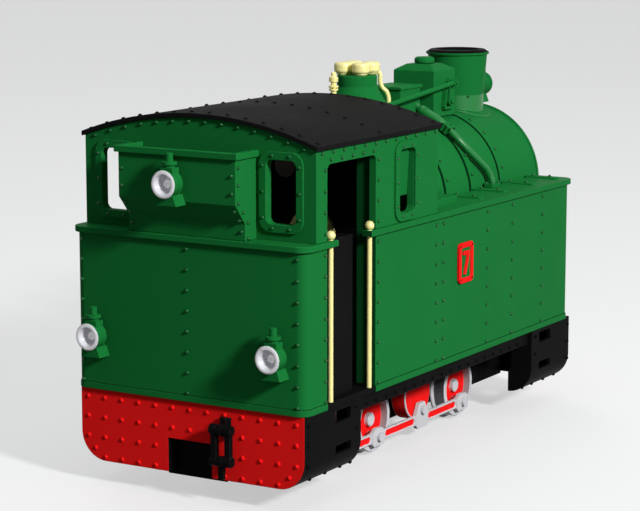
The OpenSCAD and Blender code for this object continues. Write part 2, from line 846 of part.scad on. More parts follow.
module boiler_cladding() {
    color(green) {
        ring_x(cladding_r, cladding_r - cladding_t, backhead_x, joint_x - seat);
        for (i = [0 : len(band_xs) - 1])
            ring_x(band_r, cladding_r - cladding_t / 2, band_xs[i] - band_ws[i] / 2, band_xs[i] + band_ws[i] / 2);
    }
}

module boiler_barrel() {
    r_in = cladding_r - cladding_t;
    color(copper) difference() {
        union() {
            along_x(r_in - lagging, backhead_x + 2, joint_x - 4, 0, boiler_z);
            along_x(r_in - seat, backhead_x - 1, backhead_x + 2, 0, boiler_z);
            along_x(r_in - seat, joint_x - 6, joint_x - 4, 0, boiler_z);
        }
        along_x(flue_r, backhead_x - 5, joint_x + 5, 0, flue_z);
    }
}

module gas_burner() {
    burner_r = flue_r - 2;
    color(brass) difference() {
        union() {
            along_x(burner_r, backhead_x - 4, backhead_x + 56, 0, flue_z);
            along_x(flue_r + 2, backhead_x - 3 - seat, backhead_x - 1 - seat, 0, flue_z);
            along_x(flue_r - run, backhead_x + 50, backhead_x + 52, 0, flue_z);
            along_x(2.4, backhead_x - 12, backhead_x - 3, 0, flue_z);
        }
        along_x(burner_r - 1.2, backhead_x + 2, backhead_x + 60, 0, flue_z);
    }
}

// The hole under the chimney is wider than the chimney's bore
draught_gap = 1.2;
collar_w = 1.4;

front_ring_t = 3;

module smokebox() {
    ring_x0 = smokebox_x - front_ring_t;
    color(green) {
        difference() {
            along_x(cladding_r, joint_x, ring_x0 - seat, 0, boiler_z);
            along_x(cladding_r - 1.6, joint_x - 1, ring_x0 + 1, 0, boiler_z);
            along_z(chimney_bore_r + draught_gap, chimney_x, 0, boiler_z, crown_z + 5);
            along_z(exhaust_r + run, chimney_x, 0, boiler_z - 40, boiler_z);
        }
        difference() {
            union() {
                along_x(cladding_r, ring_x0, smokebox_x, 0, boiler_z);
                along_x(cladding_r + 0.8, smokebox_x - collar_w, smokebox_x, 0, boiler_z);
                block([ring_x0, hinge_y - 2, boiler_z - 8], [smokebox_x + 0.8, hinge_y + 2, boiler_z + 8]);
                along_z(hinge_pin_r, hinge_x, hinge_y, boiler_z - 7, boiler_z + 7);
                for (z = [-6, 6]) {
                    along_z(1.6, hinge_x, hinge_y, boiler_z + z - 1.5, boiler_z + z + 1.5);
                    block([smokebox_x - 1, hinge_y - 1.4, boiler_z + z - 1.5],
                          [hinge_x, hinge_y + 1.4, boiler_z + z + 1.5]);
                }
            }
            along_x(door_hole_r, ring_x0 - 1, smokebox_x + 1, 0, boiler_z);
        }
    }
}

// Hinge of the smokebox door, on the engine's left
hinge_x = smokebox_x + 2.6;
hinge_y = door_hole_r + 5;
hinge_pin_r = 0.8;

module smokebox_door() {
    rim_r = door_hole_r + 2;
    color(green) difference() {
        union() {
            turned_x(smokebox_x + 0.3, 0, boiler_z, 1) polygon([
                [0, 0], [rim_r, 0], [rim_r, 1.2], [rim_r - 4, 2.2], [rim_r * 0.6, 3.6], [4, 4.4], [0, 4.4]
            ]);
            for (z = [-1, 1])
                block([hinge_x - 1, -rim_r * 0.72, boiler_z + 3 * z - 1.2],
                      [hinge_x + 1.2, hinge_y, boiler_z + 3 * z + 1.2]);
            along_z(1.6, hinge_x, hinge_y, boiler_z - 4.2, boiler_z + 4.2);
        }
        along_z(hinge_pin_r + run, hinge_x, hinge_y, boiler_z - 9, boiler_z + 9);
        along_x(1.2 + run, smokebox_x - 1, smokebox_x + 9, 0, boiler_z);
    }
}

module door_dart() {
    x = smokebox_x + 5.2;
    color(steel) {
        along_x(1.2, smokebox_x + 0.4, x + 1.8, 0, boiler_z);
        along_x(2, x, x + 1.9, 0, boiler_z);
        along_z(0.7, x + 0.9, 0, boiler_z - 11, boiler_z);
        translate([x + 0.9, 0, boiler_z - 11]) sphere(1.1);
    }
}

// Chimney on its riveted saddle
module chimney() {
    base_z = boiler_z + cladding_r * 0.8;
    taper_z = crown_z + chimney_base_h;
    rim_z = taper_z + chimney_h;
    foot_bore_r = min(chimney_bore_r + draught_gap, chimney_base_r - 1);
    color(green) difference() {
        union() {
            translate([chimney_x, 0, 0]) rotate_extrude() polygon([
                [0, base_z], [chimney_base_r, base_z], [chimney_base_r, taper_z], [chimney_top_r, rim_z],
                [chimney_rim_r, rim_z + 0.3], [chimney_rim_r, rim_z + 1.2], [0, rim_z + 1.2]
            ]);
            intersection() {
                along_x(cladding_r + 0.8, joint_x + 0.5, smokebox_x - collar_w - 0.2, 0, boiler_z);
                along_z(chimney_base_r + 3.4, chimney_x, 0, base_z, crown_z + 1);
            }
        }
        along_x(cladding_r + seat, joint_x - 9, smokebox_x + 9, 0, boiler_z);
        along_z(chimney_bore_r, chimney_x, 0, boiler_z, rim_z + 5);
        along_z(foot_bore_r, chimney_x, 0, boiler_z, crown_z + 1.2);
    }
}

module chimney_cap() {
    z = crown_z + chimney_base_h + chimney_h + 1.2 + seat;
    color(black) translate([chimney_x, 0, z]) rotate_extrude() polygon([
        [chimney_bore_r, 0], [chimney_rim_r - 0.2, 0], [chimney_rim_r - 2, 1.2], [chimney_bore_r + 1, 1.2]
    ]);
}

module steam_dome() {
    base_z = boiler_z + cladding_r * 0.8;
    shoulder_z = crown_z + dome_base_h;
    neck_z = shoulder_z + dome_shoulder_h;
    color(green) difference() {
        translate([dome_x, 0, 0]) rotate_extrude() polygon([
            [0, base_z], [dome_r, base_z], [dome_r, shoulder_z], [dome_neck_r, neck_z],
            [dome_neck_r, dome_top_z - 0.4], [dome_neck_r - 0.4, dome_top_z], [0, dome_top_z]
        ]);
        along_x(cladding_r + seat, dome_x - 30, dome_x + 30, 0, boiler_z);
    }
}

valve_off = valve_r + valve_gap / 2;

module safety_valves() {
    z0 = dome_top_z + seat;
    color(brass) for (sx = [-1, 1], sy = [-1, 1])
        translate([dome_x + sx * valve_off, sy * valve_off, z0]) rotate_extrude() polygon([
            [0, 0], [valve_r - 1.2, 0], [valve_r - 1.2, 0.8], [valve_r - 0.4, 1.2], [valve_r, 1.8],
            [valve_r, valve_h - 1], [valve_r - 0.4, valve_h - 0.3], [valve_r - 1.2, valve_h], [0, valve_h]
        ]);
}

// Pipe through a list of points, with a slightly fuller elbow at each bend
module pipe(points, r) {
    for (i = [0 : len(points) - 2]) {
        run_vec = points[i + 1] - points[i];
        len_run = norm(run_vec);
        tilt = acos(run_vec[2] / len_run);
        turn = atan2(run_vec[1], run_vec[0]);
        translate(points[i]) rotate([0, tilt, turn]) cylinder(r = r, h = len_run);
        if (i > 0) translate(points[i]) sphere(r * 1.12);
    }
}

relief_pipe_r = 1;
relief_turn = -50;

module relief_pipe() {
    reach = [for (p = [
        [7.4, dome_top_z + 3.2], [dome_neck_r + 1.35, dome_top_z + 0.2],
        [dome_neck_r + 1.45, dome_top_z - 4.2], [dome_r + 0.5, dome_top_z - 6.9],
        [dome_r + 1.4, dome_top_z - 11.2], [dome_r + 1.4, boiler_z + cladding_r * 0.8]
    ]) [dome_x + p[0] * cos(relief_turn), p[0] * sin(relief_turn), p[1]]];
    color(brass) difference() {
        pipe(reach, relief_pipe_r);
        translate([dome_x + valve_off, -valve_off, dome_top_z - 1]) cylinder(r = valve_r + seat, h = valve_h + 2);
        along_x(cladding_r + seat, dome_x - 30, dome_x + 40, 0, boiler_z);
    }
}

module whistle() {
    z1 = crown_z + whistle_h;
    color(brass) difference() {
        translate([whistle_x, 0, 0]) rotate_extrude() polygon([
            [0, crown_z - 2], [2.2, crown_z - 2], [2.2, crown_z + 1.5], [1.3, crown_z + 2.2],
            [1.3, z1 - 8.1], [2, z1 - 8], [2, z1 - 7.2], [1.3, z1 - 7.1], [1.3, z1 - 6.8],
            [2.15, z1 - 6.7], [2.15, z1 - 6], [1.1, z1 - 5.7], [1.1, z1 - 4.6], [1.95, z1 - 4.3],
            [1.95, z1 - 2.3], [1.1, z1 - 2], [1.1, z1 - 0.6], [0.6, z1], [0, z1]
        ]);
        along_x(cladding_r + seat, whistle_x - 9, whistle_x + 9, 0, boiler_z);
    }
}

module sandbox() {
    half = sandbox_w / 2;
    top = crown_z + sandbox_h;
    rise = 2.6;
    inset = 4.4;
    base_z = boiler_z + cladding_r * 0.8;
    x0 = sandbox_x - sandbox_len / 2;
    x1 = sandbox_x + sandbox_len / 2;
    color(green) difference() {
        union() {
            intersection() {
                slab_y(-half, half) polygon([
                    [x0, base_z], [x0, top], [x0 + inset, top + rise], [x1 - inset, top + rise], [x1, top],
                    [x1, base_z]
                ]);
                slab_x(x0, x1) polygon([
                    [-half, base_z], [-half, top], [-half + inset, top + rise], [half - inset, top + rise],
                    [half, top], [half, base_z]
                ]);
            }
            along_y(sander_pivot_r, sander_pin_x, lever_out_y - 1.2, -half + 1, sander_pivot_z);
        }
        along_x(band_r + seat, x0 - 1, x1 + 1, 0, boiler_z);
    }
}

module sandbox_cap() {
    z = crown_z + sandbox_h + 2.6 + seat;
    rim = 4.6;
    h = 2.9;
    color(green) translate([sandbox_x, 0, z]) rotate_extrude() polygon([
        [0, 0], [rim - 0.5, 0], [rim, 0.5], [rim, h - 1], [rim - 0.4, h - 0.4], [rim - 1, h], [0, h]
    ]);
}

// Lever on the sandbox side and the rod that pulls it from the cab
sander_pivot_r = 0.9;
lever_half = 1.6;
sander_pivot_z = sander_pin_z - sander_arm;
lever_out_y = sander_y + sander_rod_r + 0.2;
lever_in_y = -sandbox_w / 2 - 0.25;

module sander_lever() {
    color(green) difference() {
        union() {
            slab_y(lever_out_y, lever_in_y) {
                for (z = [sander_pin_z, sander_pivot_z])
                    translate([sander_pin_x, z]) circle(lever_half + 0.3);
                translate([sander_pin_x - lever_half, sander_pivot_z]) square([2 * lever_half, sander_arm]);
            }
            along_y(0.7, sander_pin_x, sander_y - sander_rod_r - 0.7, lever_in_y - 0.2, sander_pin_z);
        }
        along_y(sander_pivot_r + run, sander_pin_x, -side_y, 0, sander_pivot_z);
    }
}

module sander_rod() {
    back = cab_front_x - wall_t - 9;
    rod_len = (sander_pin_x - back) / cos(sander_slope);
    color(green) difference() {
        translate([sander_pin_x, sander_y, sander_pin_z]) rotate([0, -90 - sander_slope, 0]) {
            cylinder(r = sander_rod_r, h = rod_len);
            translate([0, 0, rod_len]) sphere(2.2);
            rotate([90, 0, 0]) translate([0, 0, -sander_rod_r]) cylinder(r = 1.7, h = 2 * sander_rod_r);
        }
        along_y(0.7 + run, sander_pin_x, -side_y, 0, sander_pin_z);
    }
}

module regulator_box() {
    half = regulator_w / 2;
    x0 = regulator_x - regulator_len / 2;
    x1 = regulator_x + regulator_len / 2;
    top = crown_z + regulator_h;
    color(green) difference() {
        union() {
            block([x0, -half, boiler_z + cladding_r * 0.8], [x1, half, top]);
            block([x0 - 0.8, -half - 0.8, top], [x1 + 0.8, half + 0.8, top + 1.4]);
        }
        along_x(band_r + seat, x0 - 1, x1 + 1, 0, boiler_z);
    }
}

// Main steam pipe: from the regulator box round the boiler to a flange on the right tank
module steam_pipe() {
    r = band_r + steam_pipe_r + 0.75;
    x0 = regulator_x + 6.4;
    box_y = regulator_w / 2 + seat;
    high = acos((box_y + 0.5) / r);
    low = 44;
    mid = 29.5;
    joint_turn = 54;
    arc_end = [x0, -r * cos(low), boiler_z + r * sin(low)];
    foot = [x0 + 16.2, -(tank_in_y + 1.9), tank_z + strap_t + seat];
    bend = [foot[0], foot[1], tank_z + 5.6];
    middle = [x0 + 7.1, -r * cos(mid), boiler_z + r * sin(mid)];
    color(green) {
        translate([x0, 0, boiler_z]) rotate([0, 90, 0]) rotate([0, 0, 270 - high])
            rotate_extrude(angle = high - low) translate([r, 0]) circle(steam_pipe_r);
        along_y(steam_pipe_r + 0.6, x0, -box_y - 1.6, -box_y, boiler_z + r * sin(high));
        translate([x0, -r * cos(joint_turn), boiler_z + r * sin(joint_turn)]) rotate([-joint_turn, 0, 0])
            cylinder(r = steam_pipe_r + 0.55, h = 2.2, center = true);
        translate(arc_end) sphere(steam_pipe_r * 1.12);
        pipe([arc_end, middle, bend, foot], steam_pipe_r);
        block([foot[0] - 4, foot[1] - 2.6, tank_z + seat], [foot[0] + 4, foot[1] + 1.7, tank_z + 1.8]);
    }
}

module handrails() {
    color(brass) both_sides() for (x = rail_xs) {
        along_z(rail_d / 2, x, rail_y, floor_z + seat, tank_z + 1);
        translate([x, rail_y, tank_z + ball_d / 2 - 0.1]) sphere(ball_d / 2);
    }
}

// Lamp places: mount, side, height and the way it faces
lamp_spots = [
    [rear_x - bunker_out, 0, tank_z + bunker_foot + bunker_slope + 7.3, -1],
    [rear_x, lamp_y, tank_z - lamp_drop, -1],
    [rear_x, -lamp_y, tank_z - lamp_drop, -1],
    [front_x, lamp_y, tank_z - lamp_drop, 1],
    [front_x, -lamp_y, tank_z - lamp_drop, 1],
    [smokebox_x, 0, boiler_z + cladding_r + 0.8 + lamp_foot + seat, 1]
];

cup_r = lamp_r - 1.1;

module lamp_body() {
    back = 1.6;
    vent_x = lamp_len - 4.8;
    turned_x(0, 0, 0, 1) polygon([
        [0, back], [lamp_r - 0.8, back], [lamp_r, back + 0.8], [lamp_r, lamp_len - 2.4],
        [lamp_r - 0.4, lamp_len - 2], [cup_r + seat, lamp_len - 2], [cup_r + seat, lamp_len - 4.2 - seat],
        [0, lamp_len - 4.2 - seat]
    ]);
    block([max(vent_x - 2.3, 0.3), -2.9, lamp_r - 1], [vent_x + 2.3, 2.9, lamp_r + 1.3]);
    along_z(2.1, vent_x, 0, lamp_r, lamp_r + 2.6);
    along_z(min(3, vent_x - 0.3), vent_x, 0, lamp_r + 2.3, lamp_r + 3.6);
    along_z(1.45, vent_x, 0, lamp_r, lamp_r + 6.8);
    slab_x(seat, lamp_len - 2.3)
        polygon([[-3, -lamp_r + 0.6], [3, -lamp_r + 0.6], [4.6, -lamp_foot], [-4.6, -lamp_foot]]);
    block([seat, -2, -lamp_r + 0.4], [back + 0.4, 2, 1]);
}

bulb_r = 0.9;

module lamp_optics() {
    front = lamp_len;
    turned_x(0, 0, 0, 1) polygon([
        [0, front - 4.2], [cup_r, front - 4.2], [cup_r, front - 2 + seat], [lamp_r - 0.4, front - 2 + seat],
        [lamp_ring_r, front - 1.2], [lamp_ring_r, front - 0.4], [lamp_ring_r - 0.6, front],
        [lamp_ring_r - 1.4, front], [cup_r - 0.3, front - 0.6], [1.6, front - 3.4], [0, front - 3.4]
    ]);
    along_x(0.5, front - 4, front - 2.6, 0, 0);
    translate([front - 2.4, 0, 0]) sphere(bulb_r);
}

module at_lamps() {
    for (s = lamp_spots) translate([s[0], s[1], s[2]]) rotate([0, 0, s[3] > 0 ? 0 : 180]) children();
}

module lamp_bodies() {
    color(green) at_lamps() lamp_body();
}

module lamp_reflectors() {
    color(pale) at_lamps() lamp_optics();
}

module number_plates() {
    color(red) both_sides() difference() {
        slab_y(side_y + seat, side_y + seat + number_t)
            translate([cab_front_x + number_ahead, tank_z - number_drop]) round_rect(number_w, number_h, 2);
        slab_y(side_y + number_t * 0.5, side_y + number_t + 1)
            translate([cab_front_x + number_ahead, tank_z - number_drop])
                round_rect(number_w - 4.4, number_h - 4.4, 0.8);
    }
}

module backhead_gauges() {
    face = backhead_x - 1 - seat;
    glass_y = 24.5;
    color(brass) {
        along_x(1.2, face - 2, face, 11, boiler_z + 20);
        along_x(5, face - 5, face - 2, 11, boiler_z + 20);
        for (z = [2, 16]) {
            along_x(1.2, face - 5, face, glass_y, boiler_z + z);
            along_z(1.9, face - 5, glass_y, boiler_z + z - 1.6, boiler_z + z + 1.6);
        }
        along_z(1.1, face - 5, glass_y, boiler_z + 2, boiler_z + 16);
        along_x(3, face - 2, face, 0, boiler_z + 12);
        along_x(1, face - 5, face, 0, boiler_z + 12);
    }
}

module regulator_handle() {
    x = backhead_x - 3 - seat - 0.3;
    color(steel) difference() {
        union() {
            along_x(2.4, x - 2.6, x, 0, boiler_z + 12);
            along_z(0.8, x - 1.3, 0, boiler_z + 12, boiler_z + 25);
            translate([x - 1.3, 0, boiler_z + 25]) sphere(1.5);
        }
        along_x(1 + run, x - 5, x + 5, 0, boiler_z + 12);
    }
}

lever_x = backhead_x - 18;
lever_y = -26;
lever_z = floor_z + 3;
lever_pin_r = 1;

module reversing_lever() {
    color(steel) difference() {
        union() {
            slab_y(lever_y - 1, lever_y + 1) {
                translate([lever_x, lever_z]) circle(2.2);
                translate([lever_x - 1.1, lever_z]) square([2.2, 34]);
            }
            along_z(1.6, lever_x, lever_y, lever_z + 33, lever_z + 41);
        }
        along_y(lever_pin_r + run, lever_x, lever_y - 9, lever_y + 9, lever_z);
    }
}

// Coupling at one end, drawn for a beam face at x = 0 that looks along +X
pin_out = knuckle_r + 1.6;
strap_w = 3.3;
eye_w = link_w - 2 * strap_w - 0.6;
coupling_pin_r = 0.9;

module coupling_bracket() {
    block([seat, -eye_w / 2 - 1, coupling_z - 3.4], [1.4, eye_w / 2 + 1, coupling_z + 4.4]);
    difference() {
        union() {
            block([seat, -eye_w / 2, coupling_z - knuckle_r], [pin_out, eye_w / 2, coupling_z + knuckle_r]);
            along_y(knuckle_r, pin_out, -eye_w / 2, eye_w / 2, coupling_z);
            block([seat, -eye_w / 2, coupling_z], [2.6, eye_w / 2, coupling_z + 4.4]);
        }
        along_y(coupling_pin_r + run, pin_out, -9, 9, coupling_z);
    }
}

module coupling_link() {
    low_z = coupling_z - link_len;
    for (s = [-1, 1]) {
        y0 = s > 0 ? link_w / 2 - strap_w : -link_w / 2;
        along_y(knuckle_r, pin_out, y0, y0 + strap_w, coupling_z);
        along_y(knuckle_r, pin_out, y0, y0 + strap_w, low_z);
        block([pin_out - 1.2, y0 + 0.4, low_z], [pin_out + 1.2, y0 + strap_w - 0.4, coupling_z]);
    }
    along_y(coupling_pin_r, pin_out, -link_w / 2, link_w / 2, coupling_z);
    along_y(coupling_pin_r, pin_out, -link_w / 2, link_w / 2, low_z);
}

module coupling_tail() {
    low_z = coupling_z - link_len;
    difference() {
        union() {
            along_y(knuckle_r, pin_out, -eye_w / 2, eye_w / 2, low_z);
            block([pin_out - 0.9, -1.3, low_z - tail_len], [pin_out + 0.9, 1.3, low_z]);
        }
        along_y(coupling_pin_r + run, pin_out, -9, 9, low_z);
    }
}

module at_rear_beam() {
    translate([rear_beam_x, -coupling_y, 0]) rotate([0, 0, 180]) children();
}

module at_front_beam() {
    translate([front_beam_x, coupling_y, 0]) children();
}

module coupling_brackets() {
    color(black) {
        at_rear_beam() coupling_bracket();
        at_front_beam() coupling_bracket();
    }
}

module rear_coupling_link() {
    color(black) at_rear_beam() coupling_link();
}

module front_coupling_link() {
    color(black) at_front_beam() coupling_link();
}

module rear_coupling_tail() {
    color(black) at_rear_beam() coupling_tail();
}

module front_coupling_tail() {
    color(black) at_front_beam() coupling_tail();
}

// Crank pins stand straight down on the right and a quarter turn ahead on the left
function pin_offset(side) = side < 0 ? [0, -throw] : [throw, 0];

hub_out = 1.7;

// Wheel on the left side, turned from its tread, flange, web and hub
module wheel(x) {
    web_y = wheel_face_y - recess;
    hub_y = web_y + hub_out;
    turned_y(x, axle_z) polygon([
        [axle_r + seat, wheel_back_y], [flange_r - 0.5, wheel_back_y], [flange_r, wheel_back_y + 0.5],
        [flange_r, flange_y - 0.5], [flange_r - 0.5, flange_y], [wheel_r, flange_y + 0.3],
        [wheel_r - 0.2, wheel_face_y - 0.3], [wheel_r - 0.5, wheel_face_y], [wheel_r - rim_w, wheel_face_y],
        [wheel_r - rim_w, web_y], [hub_r, web_y], [hub_r, hub_y - 0.3], [hub_r - 0.2, hub_y], [axle_r + seat, hub_y]
    ]);
}

module wheel_pair(x) {
    for (side = [-1, 1]) {
        off = pin_offset(side);
        difference() {
            if (side > 0) wheel(x);
            else mirror([0, 1, 0]) wheel(x);
            along_y(pin_r + seat, x + off[0], -side_y, side_y, axle_z + off[1]);
        }
    }
}

// Crank pin on one side: shank, shoulder behind the rod and retaining head
module crank_pin(x, z, side, root_y, shoulder_y) {
    off = pin_offset(side);
    px = x + off[0];
    pz = z + off[1];
    mirror([0, side < 0 ? 1 : 0, 0]) {
        along_y(pin_r, px, root_y, pin_end_y, pz);
        along_y(pin_head_r, px, shoulder_y, rod_y - 0.1, pz);
        along_y(pin_head_r, px, rod_y + boss_t + run, pin_end_y, pz);
    }
}

module wheel_axle(x) {
    along_y(axle_r, x, recess - hub_out - wheel_face_y, wheel_face_y - recess + hub_out, axle_z);
    for (side = [-1, 1])
        crank_pin(x, axle_z, side, wheel_back_y, wheel_face_y - recess + seat);
}

module rear_axle() {
    color(steel) wheel_axle(axle_xs[0]);
}

module rear_wheels() {
    color(pale) wheel_pair(axle_xs[0]);
}

module middle_axle() {
    color(steel) wheel_axle(axle_xs[1]);
}

module middle_wheels() {
    color(pale) wheel_pair(axle_xs[1]);
}

module front_axle() {
    color(steel) wheel_axle(axle_xs[2]);
}

module front_wheels() {
    color(pale) wheel_pair(axle_xs[2]);
}

// Involute point at radius r, from base circle rb
function involute_angle(r, rb) = r <= rb ? 0 : sqrt(r * r / (rb * rb) - 1) * 180 / PI - acos(rb / r);

// Spur gear outline: straight sampled involute flanks, thinned for backlash
module gear_outline(teeth) {
    rp = gear_m * teeth / 2;
    rb = rp * cos(20);
    root = rp - 1.15 * gear_m;
    tip = rp + 0.85 * gear_m;
    thin = 0.09 / rp * 180 / PI;
    half = 90 / teeth + involute_angle(rp, rb) - thin;
    radii = [root, max(rb, root + 0.1), rp, (rp + tip) / 2, tip];
    circle(root + 0.02);
    for (i = [0 : teeth - 1]) rotate(i * 360 / teeth) polygon(concat(
        [for (k = [0 : 4]) radii[k] * [cos(half - involute_angle(radii[k], rb)),
                                       sin(half - involute_angle(radii[k], rb))]],
        [for (k = [4 : -1 : 0]) radii[k] * [cos(half - involute_angle(radii[k], rb)),
                                            -sin(half - involute_angle(radii[k], rb))]]
    ));
}

module jackshaft() {
    color(steel) {
        along_y(axle_r, jack_x, -wheel_face_y + 1, wheel_face_y - 1, jack_z);
        for (side = [-1, 1]) crank_pin(jack_x, jack_z, side, wheel_back_y, wheel_face_y + seat);
        difference() {
            translate([jack_x, gear_w / 2, jack_z]) rotate([90, 0, 0]) linear_extrude(gear_w)
                rotate(180 - gear_lean) gear_outline(jack_teeth);
            along_y(axle_r + seat, jack_x, -side_y, side_y, jack_z);
        }
    }
}

module jackshaft_cranks() {
    color(red) for (side = [-1, 1]) {
        off = pin_offset(side);
        y0 = side > 0 ? wheel_back_y : -wheel_face_y;
        difference() {
            along_y(disc_r, jack_x, y0, y0 + wheel_face_y - wheel_back_y, jack_z);
            along_y(axle_r + seat, jack_x, -wheel_face_y + 1 - seat, wheel_face_y - 1 + seat, jack_z);
            along_y(pin_r + seat, jack_x + off[0], -side_y, side_y, jack_z + off[1]);
        }
    }
}

module motor_pinion() {
    color(steel) {
        along_y(motor_shaft_r, motor_x, -frame_in_y + 1, frame_in_y - 1, motor_z);
        translate([motor_x, gear_w / 2, motor_z]) rotate([90, 0, 0]) linear_extrude(gear_w)
            rotate(-gear_lean + 180 / pinion_teeth) gear_outline(pinion_teeth);
    }
}

// Coupling rod drawn about the middle crank pin: fluted bars between four chamfered bosses
module rod_boss(x, z0, z1) {
    c = 1.6;
    w = boss_w / 2;
    slant = w - 2.4;
    polygon([
        [x - w, z0 + c], [x - w + c, z0], [x + w - c, z0], [x + w, z0 + c],
        [x + w, rod_h / 2], [x + w - slant, z1], [x - w + slant, z1], [x - w, rod_h / 2]
    ]);
}

module coupling_rod() {
    pins = [[-axle_gap, 0], [0, 0], [axle_gap, jack_up], [2 * axle_gap, 0]];
    flute = 0.5;
    flute_r = rod_h / 2 - 0.8;
    low = -boss_h / 2;
    difference() {
        union() {
            slab_y(rod_y, rod_y + rod_t)
                translate([-axle_gap, -rod_h / 2]) square([3 * axle_gap, rod_h]);
            slab_y(rod_y, rod_y + boss_t) {
                for (p = pins) rod_boss(p[0], low, p[1] > 0 ? p[1] + 3.4 : boss_h / 2);
            }
        }
        for (i = [0 : 2]) {
            x0 = pins[i][0] + boss_w / 2 + 0.8 + flute_r;
            x1 = pins[i + 1][0] - boss_w / 2 - 0.8 - flute_r;
            block([x0, rod_y + rod_t - flute, -flute_r], [x1, rod_y + rod_t + 1, flute_r]);
            for (x = [x0, x1]) along_y(flute_r, x, rod_y + rod_t - flute, rod_y + rod_t + 1, 0);
        }
        for (p = pins) along_y(pin_r + run, p[0], -side_y, side_y, p[1]);
    }
}

module left_coupling_rod() {
    off = pin_offset(1);
    color(pale) translate([axle_xs[1] + off[0], 0, axle_z + off[1]]) coupling_rod();
}

module right_coupling_rod() {
    off = pin_offset(-1);
    color(pale) translate([axle_xs[1] + off[0], 0, axle_z + off[1]]) mirror([0, 1, 0]) coupling_rod();
}

main_frame();
footplate();
rear_buffer_beam();
front_buffer_beam();
skirts();
axle_bushes();
steam_motor();
exhaust_pipe();
smokebox_saddle();
left_tank();
right_tank();
rear_tank();
cab_sides();
cab_ends();
cab_roof();
window_frames();
coal_bunker();
cab_locker();
gas_tank();
boiler_cladding();
boiler_barrel();
gas_burner();
smokebox();
chimney();
chimney_cap();
steam_dome();
safety_valves();
relief_pipe();
whistle();
sandbox();
sandbox_cap();
regulator_box();
steam_pipe();
handrails();
lamp_bodies();
lamp_reflectors();
number_plates();
backhead_gauges();
coupling_brackets();
rear_axle();
rear_wheels();
middle_axle();
middle_wheels();
front_axle();
front_wheels();
jackshaft();
jackshaft_cranks();
motor_pinion();
left_coupling_rod();
right_coupling_rod();
smokebox_door();
door_dart();
sander_lever();
sander_rod();
rear_coupling_link();
front_coupling_link();
rear_coupling_tail();
front_coupling_tail();
regulator_handle();
reversing_lever();
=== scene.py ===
import json
import math

import bmesh
import bpy
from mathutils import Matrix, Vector


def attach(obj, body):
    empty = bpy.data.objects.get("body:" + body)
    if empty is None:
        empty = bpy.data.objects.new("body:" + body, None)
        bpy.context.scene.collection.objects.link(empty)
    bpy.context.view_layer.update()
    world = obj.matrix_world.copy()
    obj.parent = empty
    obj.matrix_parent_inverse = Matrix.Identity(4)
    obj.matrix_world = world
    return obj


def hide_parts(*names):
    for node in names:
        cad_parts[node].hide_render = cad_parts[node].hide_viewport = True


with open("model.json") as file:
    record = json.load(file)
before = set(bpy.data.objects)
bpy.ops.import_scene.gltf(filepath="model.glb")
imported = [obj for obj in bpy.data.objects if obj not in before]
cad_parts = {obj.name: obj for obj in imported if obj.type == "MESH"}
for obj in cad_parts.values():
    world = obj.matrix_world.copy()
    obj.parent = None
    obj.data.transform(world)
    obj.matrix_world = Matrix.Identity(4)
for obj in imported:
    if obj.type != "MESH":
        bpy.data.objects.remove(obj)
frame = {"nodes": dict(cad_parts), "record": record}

scene = bpy.context.scene
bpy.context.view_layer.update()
record = frame["record"]
nodeBody = {node: body for body, nodes in record["behaviour"]["bodies"].items() for node in nodes}
nodeSlot = {part["node"]: part["material_slot"] for part in record["subparts"]}
mm = 0.001


def screenColor(red, green, blue):
    # screen values from 0 to 255, made linear for the shader
    linear = []
    for value in (red, green, blue):
        part = value / 255
        linear.append(part / 12.92 if part < 0.04045 else ((part + 0.055) / 1.055) ** 2.4)
    return (*linear, 1.0)


def addThing(name, data):
    thing = bpy.data.objects.new(name, data)
    scene.collection.objects.link(thing)
    return thing


# shader groups that several finishes share

def newGroup(name, kind, inputs, outputs):
    group = bpy.data.node_groups.new(name, kind + "NodeTree")
    for way, sockets in (("INPUT", inputs), ("OUTPUT", outputs)):
        for label, sort in sockets:
            group.interface.new_socket(label, in_out=way, socket_type="NodeSocket" + sort)
    return group, group.nodes.new("NodeGroupInput"), group.nodes.new("NodeGroupOutput")


def addNode(tree, kind, **settings):
    node = tree.nodes.new(kind)
    for key, value in settings.items():
        setattr(node, key, value)
    return node


def feed(tree, socket, value):
    # a plain value is set, another node's output is linked
    if isinstance(value, (int, float, tuple)):
        socket.default_value = value
    else:
        tree.links.new(value, socket)


def mathNode(tree, operation, first, second):
    node = addNode(tree, "ShaderNodeMath", operation=operation)
    feed(tree, node.inputs[0], first)
    feed(tree, node.inputs[1], second)
    return node.outputs[0]


def mixColor(tree, factor, first, second, blend="MIX"):
    node = addNode(tree, "ShaderNodeMix", data_type="RGBA", blend_type=blend)
    for place, value in ((0, factor), (6, first), (7, second)):
        feed(tree, node.inputs[place], value)
    return node.outputs[2]


def noiseNode(tree, scale, detail, coordinates):
    node = addNode(tree, "ShaderNodeTexNoise")
    for label, value in (("Scale", scale), ("Detail", detail), ("Vector", coordinates)):
        feed(tree, node.inputs[label], value)
    return node.outputs["Fac"]


def spreadNode(tree, value, low, high, toLow, toHigh):
    node = addNode(tree, "ShaderNodeMapRange")
    tree.links.new(value, node.inputs["Value"])
    for label, number in (("From Min", low), ("From Max", high), ("To Min", toLow), ("To Max", toHigh)):
        node.inputs[label].default_value = number
    return node.outputs["Result"]


# scale and detail of each noise, and the span of it that counts
texture = {"patches": (38.0, 3.0), "flecks": (420.0, 2.0), "patchShare": 0.75, "fleckShare": 0.25,
           "toneSpan": (0.35, 0.65), "darker": (0.62, 0.62, 0.6, 1), "peelDetail": 1.0,
           "rub": (160.0, 4.0), "rubSpan": (0.45, 0.7),
           "dust": (75.0, 4.0), "dustSpan": (0.3, 0.75), "dustLeast": 0.2, "dustSlope": 0.3}


